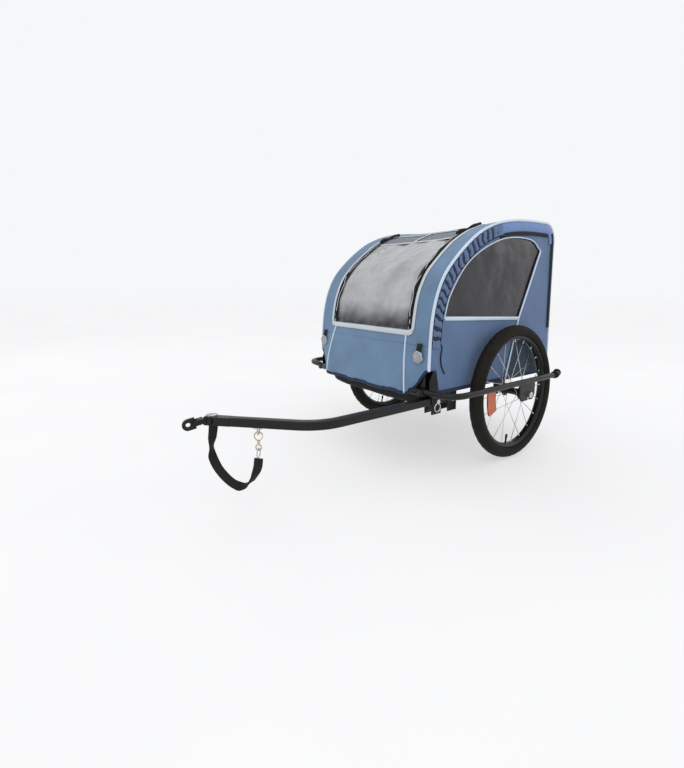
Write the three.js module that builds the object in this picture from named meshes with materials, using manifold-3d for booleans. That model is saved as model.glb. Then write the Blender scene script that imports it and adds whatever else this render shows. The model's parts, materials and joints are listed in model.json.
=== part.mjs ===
// Two-wheel child bicycle trailer: steel base frame, folding side hoops under a fabric cabin,
// spoked wheels inside side guards, and a tow bar with a swivel hitch and a safety strap.
// Millimetres. +Z up, the tow bar points to -Y, +X is the side that carries the tow bar.
import * as THREE from 'three';
import { mergeVertices } from 'three/addons/utils/BufferGeometryUtils.js';
import Module from 'manifold-3d';

const wasm = await Module();
wasm.setup();

// ---------------------------------------------------------------- driving dimensions
const FIT = 0.3;                 // gap between touching pieces
const WHEEL_R = 250;             // 20-inch wheel over the tyre
const TRACK_HALF = 343;          // wheel plane from the centre line
const AXLE_R = 6;
const RAIL = { r: 12.5, x: 286, z: 295, front: -440, rear: 296 };
const GUARD = { r: 10, x: 404, z: 300, corner: 80, straightEnd: 185, endX: 386, endY: 245 };
const HOOP = { r: 11, x: 277, skin: 16, rearSkin: 40, nest: 30, leftPivotZ: 368, rightPivotZ: 325 };
const CABIN = { half: 303, sheet: 4, floorZ: 309, bottomZ: 284, frontY: -425, rearY: 332 };
const BAR = {
  size: 25, chamfer: 4, z: 262, pivotY: -305, pinY: -385, bendY: -836, bendCut: 66, reach: 186,
};
const HITCH = { yawReach: 64, turn: -12, droop: 12, pitchReach: 26, tip: 74 };
const STRAP = { width: 25, thickness: 2.5 };
const SIDES = [['left', 1], ['right', -1]];

// ---------------------------------------------------------------- materials
const paint = (color, roughness, metalness = 0) =>
  new THREE.MeshStandardMaterial({ color, roughness, metalness });
const MATERIALS = {
  frame: paint(0x17181a, 0.4, 0.3),
  rubber: paint(0x241f1c, 0.85),
  steel: paint(0xb9bcc0, 0.3, 1.0),
  brass: paint(0xb08d57, 0.35, 1.0),
  fabric: paint(0x5f7ba0, 0.8),
  darkFabric: paint(0x1d1e22, 0.85),
  vinyl: paint(0x3c4046, 0.2),
  webbing: paint(0x141416, 0.8),
  orange: paint(0xe8641c, 0.35),
  clear: paint(0xc9cdd2, 0.25),
};

// ---------------------------------------------------------------- geometry helpers
const v3 = (x, y, z) => new THREE.Vector3(x, y, z);
const circleShape = (r) => new THREE.Shape().absarc(0, 0, r, 0, 2 * Math.PI, false);

function toSolid(geometry) {
  const bare = geometry.clone();
  bare.deleteAttribute('normal');
  bare.deleteAttribute('uv');
  const merged = mergeVertices(bare, 1e-4);
  const solid = new wasm.Manifold(new wasm.Mesh({
    numProp: 3,
    vertProperties: merged.attributes.position.array,
    triVerts: Uint32Array.from(merged.index.array),
  }));
  return solid;
}

function toGeometry(solid) {
  const mesh = solid.getMesh();
  const geometry = new THREE.BufferGeometry();
  geometry.setAttribute('position', new THREE.BufferAttribute(mesh.vertProperties, 3));
  geometry.setIndex(new THREE.BufferAttribute(mesh.triVerts, 1));
  return geometry;
}

const join = (...parts) => toGeometry(parts.map(toSolid).reduce((sum, part) => sum.add(part)));
const cut = (body, ...tools) =>
  toGeometry(tools.map(toSolid).reduce((rest, tool) => rest.subtract(tool), toSolid(body)));
const common = (body, region) => toGeometry(toSolid(body).intersect(toSolid(region)));

// A box between two corners.
function box(x0, x1, y0, y1, z0, z1) {
  return new THREE.BoxGeometry(x1 - x0, y1 - y0, z1 - z0)
    .translate((x0 + x1) / 2, (y0 + y1) / 2, (z0 + z1) / 2);
}

// A round bar between two points.
function rod(a, b, r, sides = 12) {
  const along = b.clone().sub(a);
  const turn = new THREE.Quaternion().setFromUnitVectors(v3(0, 1, 0), along.clone().normalize());
  return new THREE.CylinderGeometry(r, r, along.length(), sides)
    .applyQuaternion(turn)
    .translate((a.x + b.x) / 2, (a.y + b.y) / 2, (a.z + b.z) / 2);
}

// A section swept along a curve, with closed ends. A round section gets `sides` sides.
function sweep(shape, path, steps, sides = 8) {
  return new THREE.ExtrudeGeometry(shape, { extrudePath: path, steps, curveSegments: sides / 2 });
}

// A (y, z) outline made into a plate that is `thickness` thick along X, from x0 up.
function sidePlate(shape, x0, thickness, curveSegments = 8) {
  const frame = new THREE.Matrix4().makeBasis(v3(0, 1, 0), v3(0, 0, 1), v3(1, 0, 0));
  return new THREE.ExtrudeGeometry(shape, { depth: thickness, bevelEnabled: false, curveSegments })
    .applyMatrix4(frame)
    .translate(x0, 0, 0);
}

// A closed (radius, x) profile turned about the X axis.
function turned(profile, segments) {
  const points = profile.map(([r, x]) => new THREE.Vector2(r, x));
  if (profile[0][0] > 0) points.push(points[0].clone());
  return new THREE.LatheGeometry(points, segments).rotateZ(-Math.PI / 2);
}

const polygon = (points) => new THREE.Shape(points.map(([u, v]) => new THREE.Vector2(u, v)));

const trailer = new THREE.Group();

function add(name, geometry, material, parent = trailer) {
  const mesh = new THREE.Mesh(geometry, material);
  mesh.name = name;
  parent.add(mesh);
  return mesh;
}

// ---------------------------------------------------------------- base frame
function addBaseFrame() {
  const { r, x, z, front, rear } = RAIL;
  for (const [side, sign] of SIDES) {
    add(`${side}_rail`, rod(v3(sign * x, front - r, z), v3(sign * x, rear + r, z), r, 16), MATERIALS.frame);
  }
  const reach = x - r - FIT;
  const crossTubes = { front_cross_tube: front, axle_cross_tube: 0, rear_cross_tube: rear };
  for (const [name, y] of Object.entries(crossTubes)) {
    add(name, rod(v3(-reach, y, z), v3(reach, y, z), r, 16), MATERIALS.frame);
  }
}

function guardPath(sign) {
  const { x, z, corner, straightEnd, endX, endY } = GUARD;
  const at = (px, py) => v3(sign * px, py, z);
  const start = RAIL.x + RAIL.r + 2 * FIT;
  const path = new THREE.CurvePath();
  path.add(new THREE.LineCurve3(at(start, RAIL.front), at(x - corner, RAIL.front)));
  path.add(new THREE.QuadraticBezierCurve3(
    at(x - corner, RAIL.front), at(x, RAIL.front), at(x, RAIL.front + corner)));
  path.add(new THREE.LineCurve3(at(x, RAIL.front + corner), at(x, straightEnd)));
  path.add(new THREE.QuadraticBezierCurve3(
    at(x, straightEnd), at(x, (straightEnd + endY) / 2), at(endX, endY)));
  return path;
}

// A drop-out plate that hangs under a tube and takes the axle in a slot open to below.
function dropoutShape(front, rear, top) {
  const bottom = WHEEL_R - 20;
  const slot = AXLE_R + 0.4;
  const taper = 14;
  const shape = new THREE.Shape();
  shape.moveTo(front, top);
  shape.lineTo(front, WHEEL_R);
  shape.lineTo(front + taper, bottom);
  shape.lineTo(-slot, bottom);
  shape.lineTo(-slot, WHEEL_R);
  shape.absarc(0, WHEEL_R, slot, Math.PI, 0, true);
  shape.lineTo(slot, bottom);
  shape.lineTo(rear - taper, bottom);
  shape.lineTo(rear, WHEEL_R);
  shape.lineTo(rear, top);
  return shape;
}

const DROPOUT = { thickness: 5, inner: [-36, 36], outer: [-60, 40] };

function addGuardsAndDropouts() {
  const t = DROPOUT.thickness;
  const outerTop = GUARD.z - GUARD.r - FIT;
  const innerTop = RAIL.z - RAIL.r - FIT;
  for (const [side, sign] of SIDES) {
    const guard = sweep(circleShape(GUARD.r), guardPath(sign), 28, 10);
    add(`${side}_wheel_guard`, guard, MATERIALS.frame);
    add(`${side}_outer_dropout`,
      sidePlate(dropoutShape(...DROPOUT.outer, outerTop), sign * GUARD.x - t / 2, t), MATERIALS.frame);
    add(`${side}_inner_dropout`,
      sidePlate(dropoutShape(...DROPOUT.inner, innerTop), sign * RAIL.x - t / 2, t), MATERIALS.frame);
  }
}

// Corner plates that stiffen the joint of rail, guard and hoop.
function addCornerGussets() {
  const outline = polygon([[-396, 366], [-386, 319], [-378, 286], [-425, 286], [-425, 330], [-410, 366]]);
  const x = CABIN.half + 2 * FIT;
  const thickness = 3;
  for (const [side, sign] of SIDES) {
    const x0 = sign > 0 ? x : -x - thickness;
    add(`${side}_corner_gusset`, sidePlate(outline, x0, thickness), MATERIALS.frame);
  }
}

// ---------------------------------------------------------------- wheels
const RIM = { inner: 197, outer: 210.2, half: 14 };
const HUB = { half: 38, flange: 31, flangeR: 24, barrelR: 14, bore: AXLE_R + 0.3 };
const SPOKES = { count: 20, r: 1.1, lacing: 1.15, sides: 5 };

function tyreProfile() {
  const section = 24;
  const centre = WHEEL_R - section;
  const steps = 10;
  const half = THREE.MathUtils.degToRad(130);
  const points = [];
  for (let i = 0; i <= steps; i++) {
    const angle = -half + (2 * half * i) / steps;
    points.push([centre + section * Math.cos(angle), section * Math.sin(angle)]);
  }
  return points;
}

const rimProfile = () => [
  [RIM.inner, -8], [RIM.inner + 6, -RIM.half], [RIM.outer, -RIM.half],
  [RIM.outer, RIM.half], [RIM.inner + 6, RIM.half], [RIM.inner, 8],
];

function hubProfile() {
  const { half, flange, flangeR, barrelR, bore } = HUB;
  const neck = 11;
  return [
    [bore, -half], [neck, -half], [neck, -flange - 2], [flangeR, -flange - 2], [flangeR, -flange + 1],
    [barrelR, -flange + 4], [barrelR, flange - 4], [flangeR, flange - 1], [flangeR, flange + 2],
    [neck, flange + 2], [neck, half], [bore, half],
  ];
}

// Hub shell with crossed spokes, which stop just short of the rim.
function hubAndSpokes() {
  const parts = [turned(hubProfile(), 16)];
  for (let i = 0; i < SPOKES.count; i++) {
    const rimAngle = (2 * Math.PI * i) / SPOKES.count;
    const flange = i % 2 ? HUB.flange : -HUB.flange;
    const lean = Math.floor(i / 2) % 2 ? SPOKES.lacing : -SPOKES.lacing;
    const hubAngle = rimAngle + lean;
    const hubR = HUB.flangeR - 3;
    const rimR = RIM.inner - 1.5;
    parts.push(rod(
      v3(flange, hubR * Math.cos(hubAngle), hubR * Math.sin(hubAngle)),
      v3(0, rimR * Math.cos(rimAngle), rimR * Math.sin(rimAngle)), SPOKES.r, SPOKES.sides));
  }
  return join(...parts);
}

// Orange spoke reflector: a ring sector clipped outside the spokes.
function spokeReflector(sign) {
  const inner = 138;
  const outer = 184;
  const half = 0.26;
  const shape = new THREE.Shape();
  shape.absarc(0, 0, outer, -half, half, false);
  shape.absarc(0, 0, inner, half, -half, true);
  const thickness = 5;
  const offset = 13;
  return sidePlate(shape, sign > 0 ? offset : -offset - thickness, thickness, 6)
    .rotateX(Math.PI + 0.1);
}

function axleProfile() {
  const nutR = 11;
  const spacerR = 9;
  const half = DROPOUT.thickness / 2 + FIT;
  const nutLength = 9;
  const hubEnd = HUB.half + 2 * FIT;
  const inner = RAIL.x - TRACK_HALF;
  const outer = GUARD.x - TRACK_HALF;
  return [
    [0, inner - half - nutLength], [nutR, inner - half - nutLength], [nutR, inner - half],
    [AXLE_R, inner - half], [AXLE_R, inner + half], [spacerR, inner + half], [spacerR, -hubEnd],
    [AXLE_R, -hubEnd], [AXLE_R, hubEnd], [spacerR, hubEnd], [spacerR, outer - half],
    [AXLE_R, outer - half], [AXLE_R, outer + half], [nutR, outer + half],
    [nutR, outer + half + nutLength], [0, outer + half + nutLength],
  ];
}

function addWheels() {
  for (const [side, sign] of SIDES) {
    const wheel = new THREE.Group();
    wheel.position.set(sign * TRACK_HALF, 0, WHEEL_R);
    trailer.add(wheel);
    add(`${side}_tyre`, turned(tyreProfile(), 48), MATERIALS.rubber, wheel);
    add(`${side}_rim`, turned(rimProfile(), 48), MATERIALS.frame, wheel);
    add(`${side}_hub_and_spokes`, hubAndSpokes(), MATERIALS.steel, wheel);
    add(`${side}_spoke_reflector`, spokeReflector(sign), MATERIALS.orange, wheel);
    const axle = turned(axleProfile(), 16);
    if (sign < 0) axle.rotateZ(Math.PI);
    add(`${side}_axle`, axle, MATERIALS.steel, wheel);
  }
}

// ---------------------------------------------------------------- cabin profile
// The cabin's outline seen from the side, as (y, z), from the front foot over the roof to the rear
// foot, moved inwards by `inset` on the front and roof and by `rearInset` on the rear.
const FRONT_ARCH = [
  [CABIN.frontY, CABIN.bottomZ], [-429, 400], [-417, 548], [-380, 655], [-316, 732],
  [-210, 815], [-112, 861], [0, 888], [130, 900], [250, 903],
];
const REAR_CORNER = { control: [328, 906], end: [CABIN.rearY - 2, 820] };

function cabinProfile(inset = 0, rearInset = inset) {
  const toVectors = (points) => points.map(([y, z]) => new THREE.Vector2(y, z));
  const arch = new THREE.SplineCurve(toVectors(FRONT_ARCH)).getSpacedPoints(26);
  const [control, end] = toVectors([REAR_CORNER.control, REAR_CORNER.end]);
  const corner = new THREE.QuadraticBezierCurve(arch[arch.length - 1], control, end).getPoints(6);
  const foot = new THREE.Vector2(CABIN.rearY - 8, CABIN.bottomZ);
  const rear = new THREE.LineCurve(end, foot).getPoints(4);
  const outline = [...arch, ...corner.slice(1), ...rear.slice(1)];
  const lastRoof = arch.length - 1;
  const lastCorner = lastRoof + corner.length - 1;
  return outline.map((point, i) => {
    const before = outline[Math.max(i - 1, 0)];
    const after = outline[Math.min(i + 1, outline.length - 1)];
    const along = after.clone().sub(before).normalize();
    const blend = THREE.MathUtils.clamp((i - lastRoof) / (lastCorner - lastRoof), 0, 1);
    const depth = THREE.MathUtils.lerp(inset, rearInset, blend);
    return new THREE.Vector2(point.x + along.y * depth, point.y - along.x * depth);
  });
}

// ---------------------------------------------------------------- folding side hoops
const HINGES = [['front', 0], ['rear', 1]];
const hoopPivotZ = (sign) => (sign > 0 ? HOOP.leftPivotZ : HOOP.rightPivotZ);
const hoopNest = (sign) => (sign > 0 ? 0 : HOOP.nest);

// The hoop's centre line, from one hinge to the other.
function hoopPoints(sign) {
  const nest = hoopNest(sign);
  const pivotZ = hoopPivotZ(sign);
  const line = cabinProfile(HOOP.skin + nest, HOOP.rearSkin + nest);
  const above = line.filter((point) => point.y > pivotZ + 20);
  const first = above[0];
  const last = above[above.length - 1];
  return [new THREE.Vector2(first.x, pivotZ - 6), ...above, new THREE.Vector2(last.x, pivotZ - 6)];
}

const hingeY = (sign, end) => {
  const points = hoopPoints(sign);
  return end ? points[points.length - 1].x : points[0].x;
};
const HINGE_PIN_R = 4;
const CHEEK = { gap: 1, thickness: 3, width: 24, top: 12 };

function addHoops() {
  for (const [side, sign] of SIDES) {
    const path = new THREE.CatmullRomCurve3(hoopPoints(sign).map((p) => v3(sign * HOOP.x, p.x, p.y)));
    const tube = sweep(circleShape(HOOP.r), path, 44, 10);
    const bores = HINGES.map(([, end]) => {
      const y = hingeY(sign, end);
      const z = hoopPivotZ(sign);
      const reach = 2 * HOOP.r;
      return rod(v3(sign * HOOP.x, y - reach, z), v3(sign * HOOP.x, y + reach, z), HINGE_PIN_R + 0.3, 12);
    });
    add(`${side}_hoop`, cut(tube, ...bores), MATERIALS.frame);
  }
}

// A forked bracket on the rail with its pin riveted in; the hoop's foot turns on the pin.
function hingeBracket(sign, end) {
  const y = hingeY(sign, end);
  const z = hoopPivotZ(sign);
  const inner = HOOP.r + CHEEK.gap;
  const outer = inner + CHEEK.thickness;
  const baseZ = RAIL.z + RAIL.r + FIT;
  const baseTop = baseZ + 3;
  const x0 = sign * HOOP.x - CHEEK.width / 2;
  const x1 = sign * HOOP.x + CHEEK.width / 2;
  const top = z + CHEEK.top;
  return join(
    box(x0, x1, y - outer, y + outer, baseZ, baseTop),
    box(x0, x1, y - outer, y - inner, baseZ, top),
    box(x0, x1, y + inner, y + outer, baseZ, top),
    rod(v3(sign * HOOP.x, y - outer - 2, z), v3(sign * HOOP.x, y + outer + 2, z), HINGE_PIN_R, 12),
  );
}

function addHingeBrackets() {
  for (const [side, sign] of SIDES) {
    for (const [end, index] of HINGES) {
      add(`${side}_${end}_hinge_bracket`, hingeBracket(sign, index), MATERIALS.frame);
    }
  }
}

// ---------------------------------------------------------------- cabin covers
const WINDOW = { half: 192, z0: 492, splitY: -200, endY: -85 };
const APRON = { half: 288, foot: -459, z0: 297, topY: -423.5, z1: 447 };
const COVER_HALF = CABIN.half - CABIN.sheet - FIT;
const ROOF_END = 252;
const FAR = 1200;

// The whole cabin profile as a sheet, `half` to each side.
function profileSheet(half, depth, thickness) {
  const outline = [...cabinProfile(depth), ...cabinProfile(depth + thickness).reverse()];
  return sidePlate(new THREE.Shape(outline), -half, 2 * half);
}

function addCovers() {
  const { half, z0, splitY, endY } = WINDOW;
  const sheet = profileSheet(COVER_HALF, 0, CABIN.sheet);
  const opening = box(-half - 2, half + 2, -FAR, endY, z0 - 2, FAR);
  const front = box(-FAR, FAR, -FAR, ROOF_END, APRON.z1 + 1, FAR);
  const rear = box(-FAR, FAR, ROOF_END + FIT, FAR, 0, FAR);
  const pane = profileSheet(half, 0.5, 2);
  add('front_cover', cut(common(sheet, front), opening), MATERIALS.fabric);
  add('front_window', common(pane, box(-FAR, FAR, -FAR, splitY, z0, FAR)), MATERIALS.vinyl);
  add('roof_mesh', common(pane, box(-FAR, FAR, splitY + FIT, endY - 2, z0, FAR)), MATERIALS.darkFabric);
  add('rear_panel', common(sheet, rear), MATERIALS.fabric);
  const { foot, topY, z1 } = APRON;
  const { sheet: cloth } = CABIN;
  const apron = polygon([[foot, APRON.z0], [foot + cloth, APRON.z0], [topY, z1], [topY - cloth, z1]]);
  add('front_apron', sidePlate(apron, -APRON.half, 2 * APRON.half), MATERIALS.fabric);
  addSidePanels(CABIN.half, CABIN.sheet);
}

const SIDE_WINDOW = [
  [-360, 535], [82, 519], [221, 785], [140, 824], [-46, 812], [-226, 733], [-326, 622],
];

function addSidePanels(half, sheet) {
  const hole = SIDE_WINDOW.map(([y, z]) => new THREE.Vector2(y, z));
  const centre = hole.reduce((sum, p) => sum.add(p), new THREE.Vector2()).divideScalar(hole.length);
  const pane = hole.map((p) => p.clone().lerp(centre, 0.006));
  for (const [side, sign] of SIDES) {
    const outline = new THREE.Shape(cabinProfile(1));
    outline.holes.push(new THREE.Path(hole));
    const x0 = sign > 0 ? half - sheet : -half;
    add(`${side}_side_panel`, sidePlate(outline, x0, sheet), MATERIALS.fabric);
    const paneX = sign > 0 ? half - sheet + 1 : -half + 1;
    add(`${side}_side_window`, sidePlate(new THREE.Shape(pane), paneX, 2), MATERIALS.vinyl);
  }
}

// ---------------------------------------------------------------- cabin floor, seat and harness
const FOOTWELL = { half: 256, front: -424, rear: -190, bottom: 246, wall: 3 };
const SEAT = { half: 235, front: -20, rear: 200, z: 312.5, thickness: 85 };
const BACK = { lean: 0.2, height: 370, thickness: 30 };

function addFloor() {
  const { half, front, rear, bottom, wall } = FOOTWELL;
  const top = CABIN.floorZ;
  const tub = cut(box(-half, half, front, rear, bottom, top),
    box(-half + wall, half - wall, front + wall, rear - wall, bottom + wall, top + 1));
  add('footwell', tub, MATERIALS.darkFabric);
  add('floor_panel', box(-half, half, rear + 2 * FIT, RAIL.rear - 50, top, top + 3), MATERIALS.darkFabric);
}

// The seat back is built upright at its lower edge and leans back about it.
function leaningBox(x0, x1, near, far, z0, z1) {
  return box(x0, x1, near, far, z0, z1)
    .rotateX(-BACK.lean)
    .translate(0, SEAT.rear - 15, SEAT.z + SEAT.thickness + 4);
}

function addSeat() {
  add('seat_cushion', box(-SEAT.half, SEAT.half, SEAT.front, SEAT.rear, SEAT.z, SEAT.z + SEAT.thickness),
    MATERIALS.darkFabric);
  add('seat_back', leaningBox(-SEAT.half, SEAT.half, 0, BACK.thickness, 0, BACK.height), MATERIALS.darkFabric);
  for (const [side, sign] of SIDES) {
    add(`${side}_harness`, harness(sign * SEAT.half / 2), MATERIALS.webbing);
  }
}

// Two shoulder straps that meet in a buckle plate, lying on the seat back.
function harness(x) {
  const strap = 22;
  const spread = 45;
  const thickness = 3;
  const near = -FIT - thickness;
  const low = 60;
  return join(
    leaningBox(x - spread, x - spread + strap, near, -FIT, low, BACK.height - 30),
    leaningBox(x + spread - strap, x + spread, near, -FIT, low, BACK.height - 30),
    leaningBox(x - spread, x + spread, near, -FIT, low, low + strap),
    leaningBox(x - strap, x + strap, near - 10, near + 1, low - 8, low + strap + 8),
  );
}

// ---------------------------------------------------------------- front reflectors
function addFrontReflectors() {
  const size = 25;
  const place = { x: 267, z: 410, y: -443.2 };
  for (const [side, sign] of SIDES) {
    const plate = new THREE.CylinderGeometry(size, size, 4, 6).rotateY(Math.PI / 6);
    const mesh = add(`${side}_front_reflector`, plate, MATERIALS.clear);
    mesh.position.set(sign * place.x, place.y, place.z);
  }
}

// ---------------------------------------------------------------- tow bar
const BRACKET = { length: 45, thickness: 3, clearance: 0.5, bottom: 219 };
const PIVOT_R = 6;
const PIN_R = 4.5;
const BAR_END = new THREE.Vector2(RAIL.x, BAR.bendY)
  .add(new THREE.Vector2(-Math.SQRT1_2, -Math.SQRT1_2).multiplyScalar(BAR.bendCut + BAR.reach));
const BAR_TURN = -Math.PI / 4;

function towBracket(y, opening) {
  const inner = BAR.size / 2 + BRACKET.clearance;
  const outer = inner + BRACKET.thickness;
  const top = RAIL.z - RAIL.r - FIT;
  const y0 = y - BRACKET.length / 2;
  const y1 = y + BRACKET.length / 2;
  const { x } = RAIL;
  const channel = join(
    box(x - outer, x + outer, y0, y1, top - BRACKET.thickness, top),
    box(x - outer, x - inner, y0, y1, BRACKET.bottom, top),
    box(x + inner, x + outer, y0, y1, BRACKET.bottom, top),
  );
  return cut(channel, opening);
}

function towBarBody() {
  const { size, chamfer, z, pivotY, bendY, bendCut } = BAR;
  const h = size / 2;
  const c = h - chamfer;
  const section = polygon([[h, -c], [h, c], [c, h], [-c, h], [-h, c], [-h, -c], [-c, -h], [c, -h]]);
  const bend = v3(RAIL.x, bendY, z);
  const bendStart = v3(RAIL.x, bendY + bendCut, z);
  const bendEnd = bend.clone().add(v3(-Math.SQRT1_2, -Math.SQRT1_2, 0).multiplyScalar(bendCut));
  const path = new THREE.CurvePath();
  path.add(new THREE.LineCurve3(v3(RAIL.x, pivotY, z), bendStart));
  path.add(new THREE.QuadraticBezierCurve3(bendStart, bend, bendEnd));
  path.add(new THREE.LineCurve3(bendEnd, v3(BAR_END.x, BAR_END.y, z)));
  const across = (y, pz, r, sides) =>
    rod(v3(RAIL.x - h, y, pz), v3(RAIL.x + h, y, pz), r, sides);
  const through = (y, pz, r) =>
    rod(v3(RAIL.x - size, y, pz), v3(RAIL.x + size, y, pz), r, 16);
  const body = join(sweep(section, path, 34), across(pivotY, z, h, 24));
  // The pin's seat is open above, so that the bar drops off the pin as it swings down.
  const seatGap = PIN_R + 0.5;
  const pinSeat = box(RAIL.x - size, RAIL.x + size,
    BAR.pinY - seatGap, BAR.pinY + seatGap + 2, z - seatGap, z + size);
  return cut(body, through(pivotY, z, PIVOT_R + 0.3), pinSeat);
}

// A profile of (radius, x) steps turned about X and set on the rail's line.
const railTurned = (profile, y, z) => turned(profile, 16).translate(RAIL.x, y, z);

function addTowBar() {
  const { z, pivotY, pinY } = BAR;
  const reach = BAR.size;
  const hole = (y, r) => rod(v3(RAIL.x - reach, y, z), v3(RAIL.x + reach, y, z), r + 0.3, 16);
  add('rear_tow_bracket', towBracket(pivotY, hole(pivotY, PIVOT_R)), MATERIALS.frame);
  add('front_tow_bracket', towBracket(pinY, hole(pinY, PIN_R)), MATERIALS.frame);
  const cheek = BAR.size / 2 + BRACKET.clearance + BRACKET.thickness + FIT;
  const headR = 10;
  const head = 5;
  add('tow_pivot_bolt', railTurned([
    [0, -cheek - head], [headR, -cheek - head], [headR, -cheek], [PIVOT_R, -cheek],
    [PIVOT_R, cheek], [headR, cheek], [headR, cheek + head], [0, cheek + head]], pivotY, z), MATERIALS.steel);
  add('tow_bar', towBarBody(), MATERIALS.frame);
  add('tow_retaining_pin', retainingPin(cheek, pinY, z), MATERIALS.steel);
}

// A push pin through bracket and bar, with a pull ring on its head.
function retainingPin(cheek, y, z) {
  const knobR = 8;
  const knob = 9;
  const ringR = 14;
  const pin = railTurned([
    [0, -cheek - 3], [PIN_R, -cheek - 3], [PIN_R, cheek], [knobR, cheek],
    [knobR, cheek + knob], [0, cheek + knob]], y, z);
  const ring = new THREE.TorusGeometry(ringR, 1.6, 6, 18)
    .rotateY(Math.PI / 2)
    .translate(RAIL.x + cheek + knob / 2, y, z - knobR - ringR + 2);
  return join(pin, ring);
}

// ---------------------------------------------------------------- hitch
// Groups stand at the bar's end and at the yaw axis, with local -Y pointing forward.
function addHitch() {
  const barEnd = new THREE.Group();
  barEnd.position.set(BAR_END.x, BAR_END.y, BAR.z);
  barEnd.rotation.z = BAR_TURN;
  trailer.add(barEnd);
  add('tow_bar_clevis', clevis(), MATERIALS.frame, barEnd);
  add('coupling_pin', couplingPin(), MATERIALS.steel, barEnd);

  const yaw = new THREE.Group();
  const reach = HITCH.yawReach * Math.SQRT1_2;
  yaw.position.set(BAR_END.x - reach, BAR_END.y - reach, BAR.z);
  yaw.rotation.z = THREE.MathUtils.degToRad(HITCH.turn);
  trailer.add(yaw);
  add('swivel_block', swivelBlock(), MATERIALS.frame, yaw);

  const pitch = new THREE.Group();
  pitch.position.y = -HITCH.pitchReach;
  pitch.rotation.x = THREE.MathUtils.degToRad(HITCH.droop);
  yaw.add(pitch);
  add('hitch_tongue', hitchTongue(), MATERIALS.frame, pitch);
}

const CLEVIS = { half: 12, plate: 4, root: 49, length: 76 };
const COUPLING_R = 5;

function clevis() {
  const { half, plate, root, length } = CLEVIS;
  const gap = half - plate;
  const body = join(
    box(-half, half, -root, -FIT, -half, half),
    box(-half, half, -length, -FIT, gap, half),
    box(-half, half, -length, -FIT, -half, -gap),
  );
  const axis = -HITCH.yawReach;
  return cut(body, rod(v3(0, axis, -2 * half), v3(0, axis, 2 * half), COUPLING_R + 0.3, 16));
}

// A lift-out pin with a finger ring lying back on the fork, on which the swivel block turns.
function couplingPin() {
  const axis = -HITCH.yawReach;
  const { half } = CLEVIS;
  const headR = 9;
  const ringR = 11;
  return join(
    rod(v3(0, axis, -half - 1), v3(0, axis, half + 5), COUPLING_R, 16),
    rod(v3(0, axis, half + FIT), v3(0, axis, half + 5), headR, 16),
    new THREE.TorusGeometry(ringR, 1.6, 6, 18).translate(0, axis + ringR, half + 4.5),
  );
}

function swivelBlock() {
  const height = CLEVIS.half - CLEVIS.plate - FIT;
  const arm = { half: 7, height: 7.5, end: HITCH.pitchReach + 8 };
  const body = join(
    rod(v3(0, 0, -height), v3(0, 0, height), 13, 20),
    box(-arm.half, arm.half, -arm.end, -8, -arm.height, arm.height),
  );
  const pitch = -HITCH.pitchReach;
  return cut(body,
    rod(v3(0, 0, -30), v3(0, 0, 30), COUPLING_R + 0.3, 16),
    rod(v3(-30, pitch, 0), v3(30, pitch, 0), 4.3, 12));
}

// An upright drawbar plate with an eye through its sides; its two ears carry the pitch rivet
// through the block.
function hitchTongue() {
  const ear = { inner: 7.5, outer: 11.5, height: 7.5, front: -14, back: 8 };
  const tip = HITCH.pitchReach - HITCH.tip;
  const half = 16;
  const thick = 4;
  const web = 12;
  const eyeY = tip + half;
  const body = join(
    box(ear.inner, ear.outer, ear.front, ear.back, -ear.height, ear.height),
    box(-ear.outer, -ear.inner, ear.front, ear.back, -ear.height, ear.height),
    box(-ear.outer, ear.outer, -web - thick, -web, -ear.height, ear.height),
    rod(v3(-ear.outer - 2, 0, 0), v3(ear.outer + 2, 0, 0), 4, 12),
    box(-thick, thick, eyeY, -web, -half, half),
    rod(v3(-thick, eyeY, 0), v3(thick, eyeY, 0), half, 20),
  );
  return cut(body, rod(v3(-10, eyeY, 0), v3(10, eyeY, 0), 6.5, 16));
}

// ---------------------------------------------------------------- safety strap
// Points in the upright plane of the bar's last stretch: u from the clevis back along the bar, z up.
const STRAP_START = 30;
const STRAP_END = 108;
const strapPoint = (u, z) => v3(
  BAR_END.x + (u - STRAP_START) * Math.SQRT1_2,
  BAR_END.y + (u - STRAP_START) * Math.SQRT1_2, z);
const STRAP_ROUTE = [
  [-23, 247.6], [-24, 235], [-27, 210], [-29.5, 185], [-28, 161], [-20, 140], [-8, 120], [8, 102],
  [27, 86], [49, 76], [68, 78], [85, 92], [97, 113], [105, 135], [108, 160.9],
];
const HOOK = { eyeZ: 238, eyeR: 9, wire: 2, ringZ: 224, ringR: 12, shankZ: 200, lowEyeZ: 192, lowEyeR: 8 };
const GATE = { from: -1.05, to: 0.25, r: 1.5 };
const STRAP_RING = { z: 176, r: 13, wire: 1.8 };

// A full ring whose plane stands upright, along the bar or across it.
function uprightRing(u, z, r, wire, across) {
  const centre = strapPoint(u, z);
  return new THREE.TorusGeometry(r, wire, 6, 18)
    .rotateX(Math.PI / 2)
    .rotateZ(across ? -Math.PI / 4 : Math.PI / 4)
    .translate(centre.x, centre.y, centre.z);
}

// A point at `angle` on the snap hook's ring, which stands along the bar.
function hookPoint(angle, r = HOOK.ringR) {
  return strapPoint(STRAP_END + r * Math.cos(angle), HOOK.ringZ + r * Math.sin(angle));
}

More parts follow.
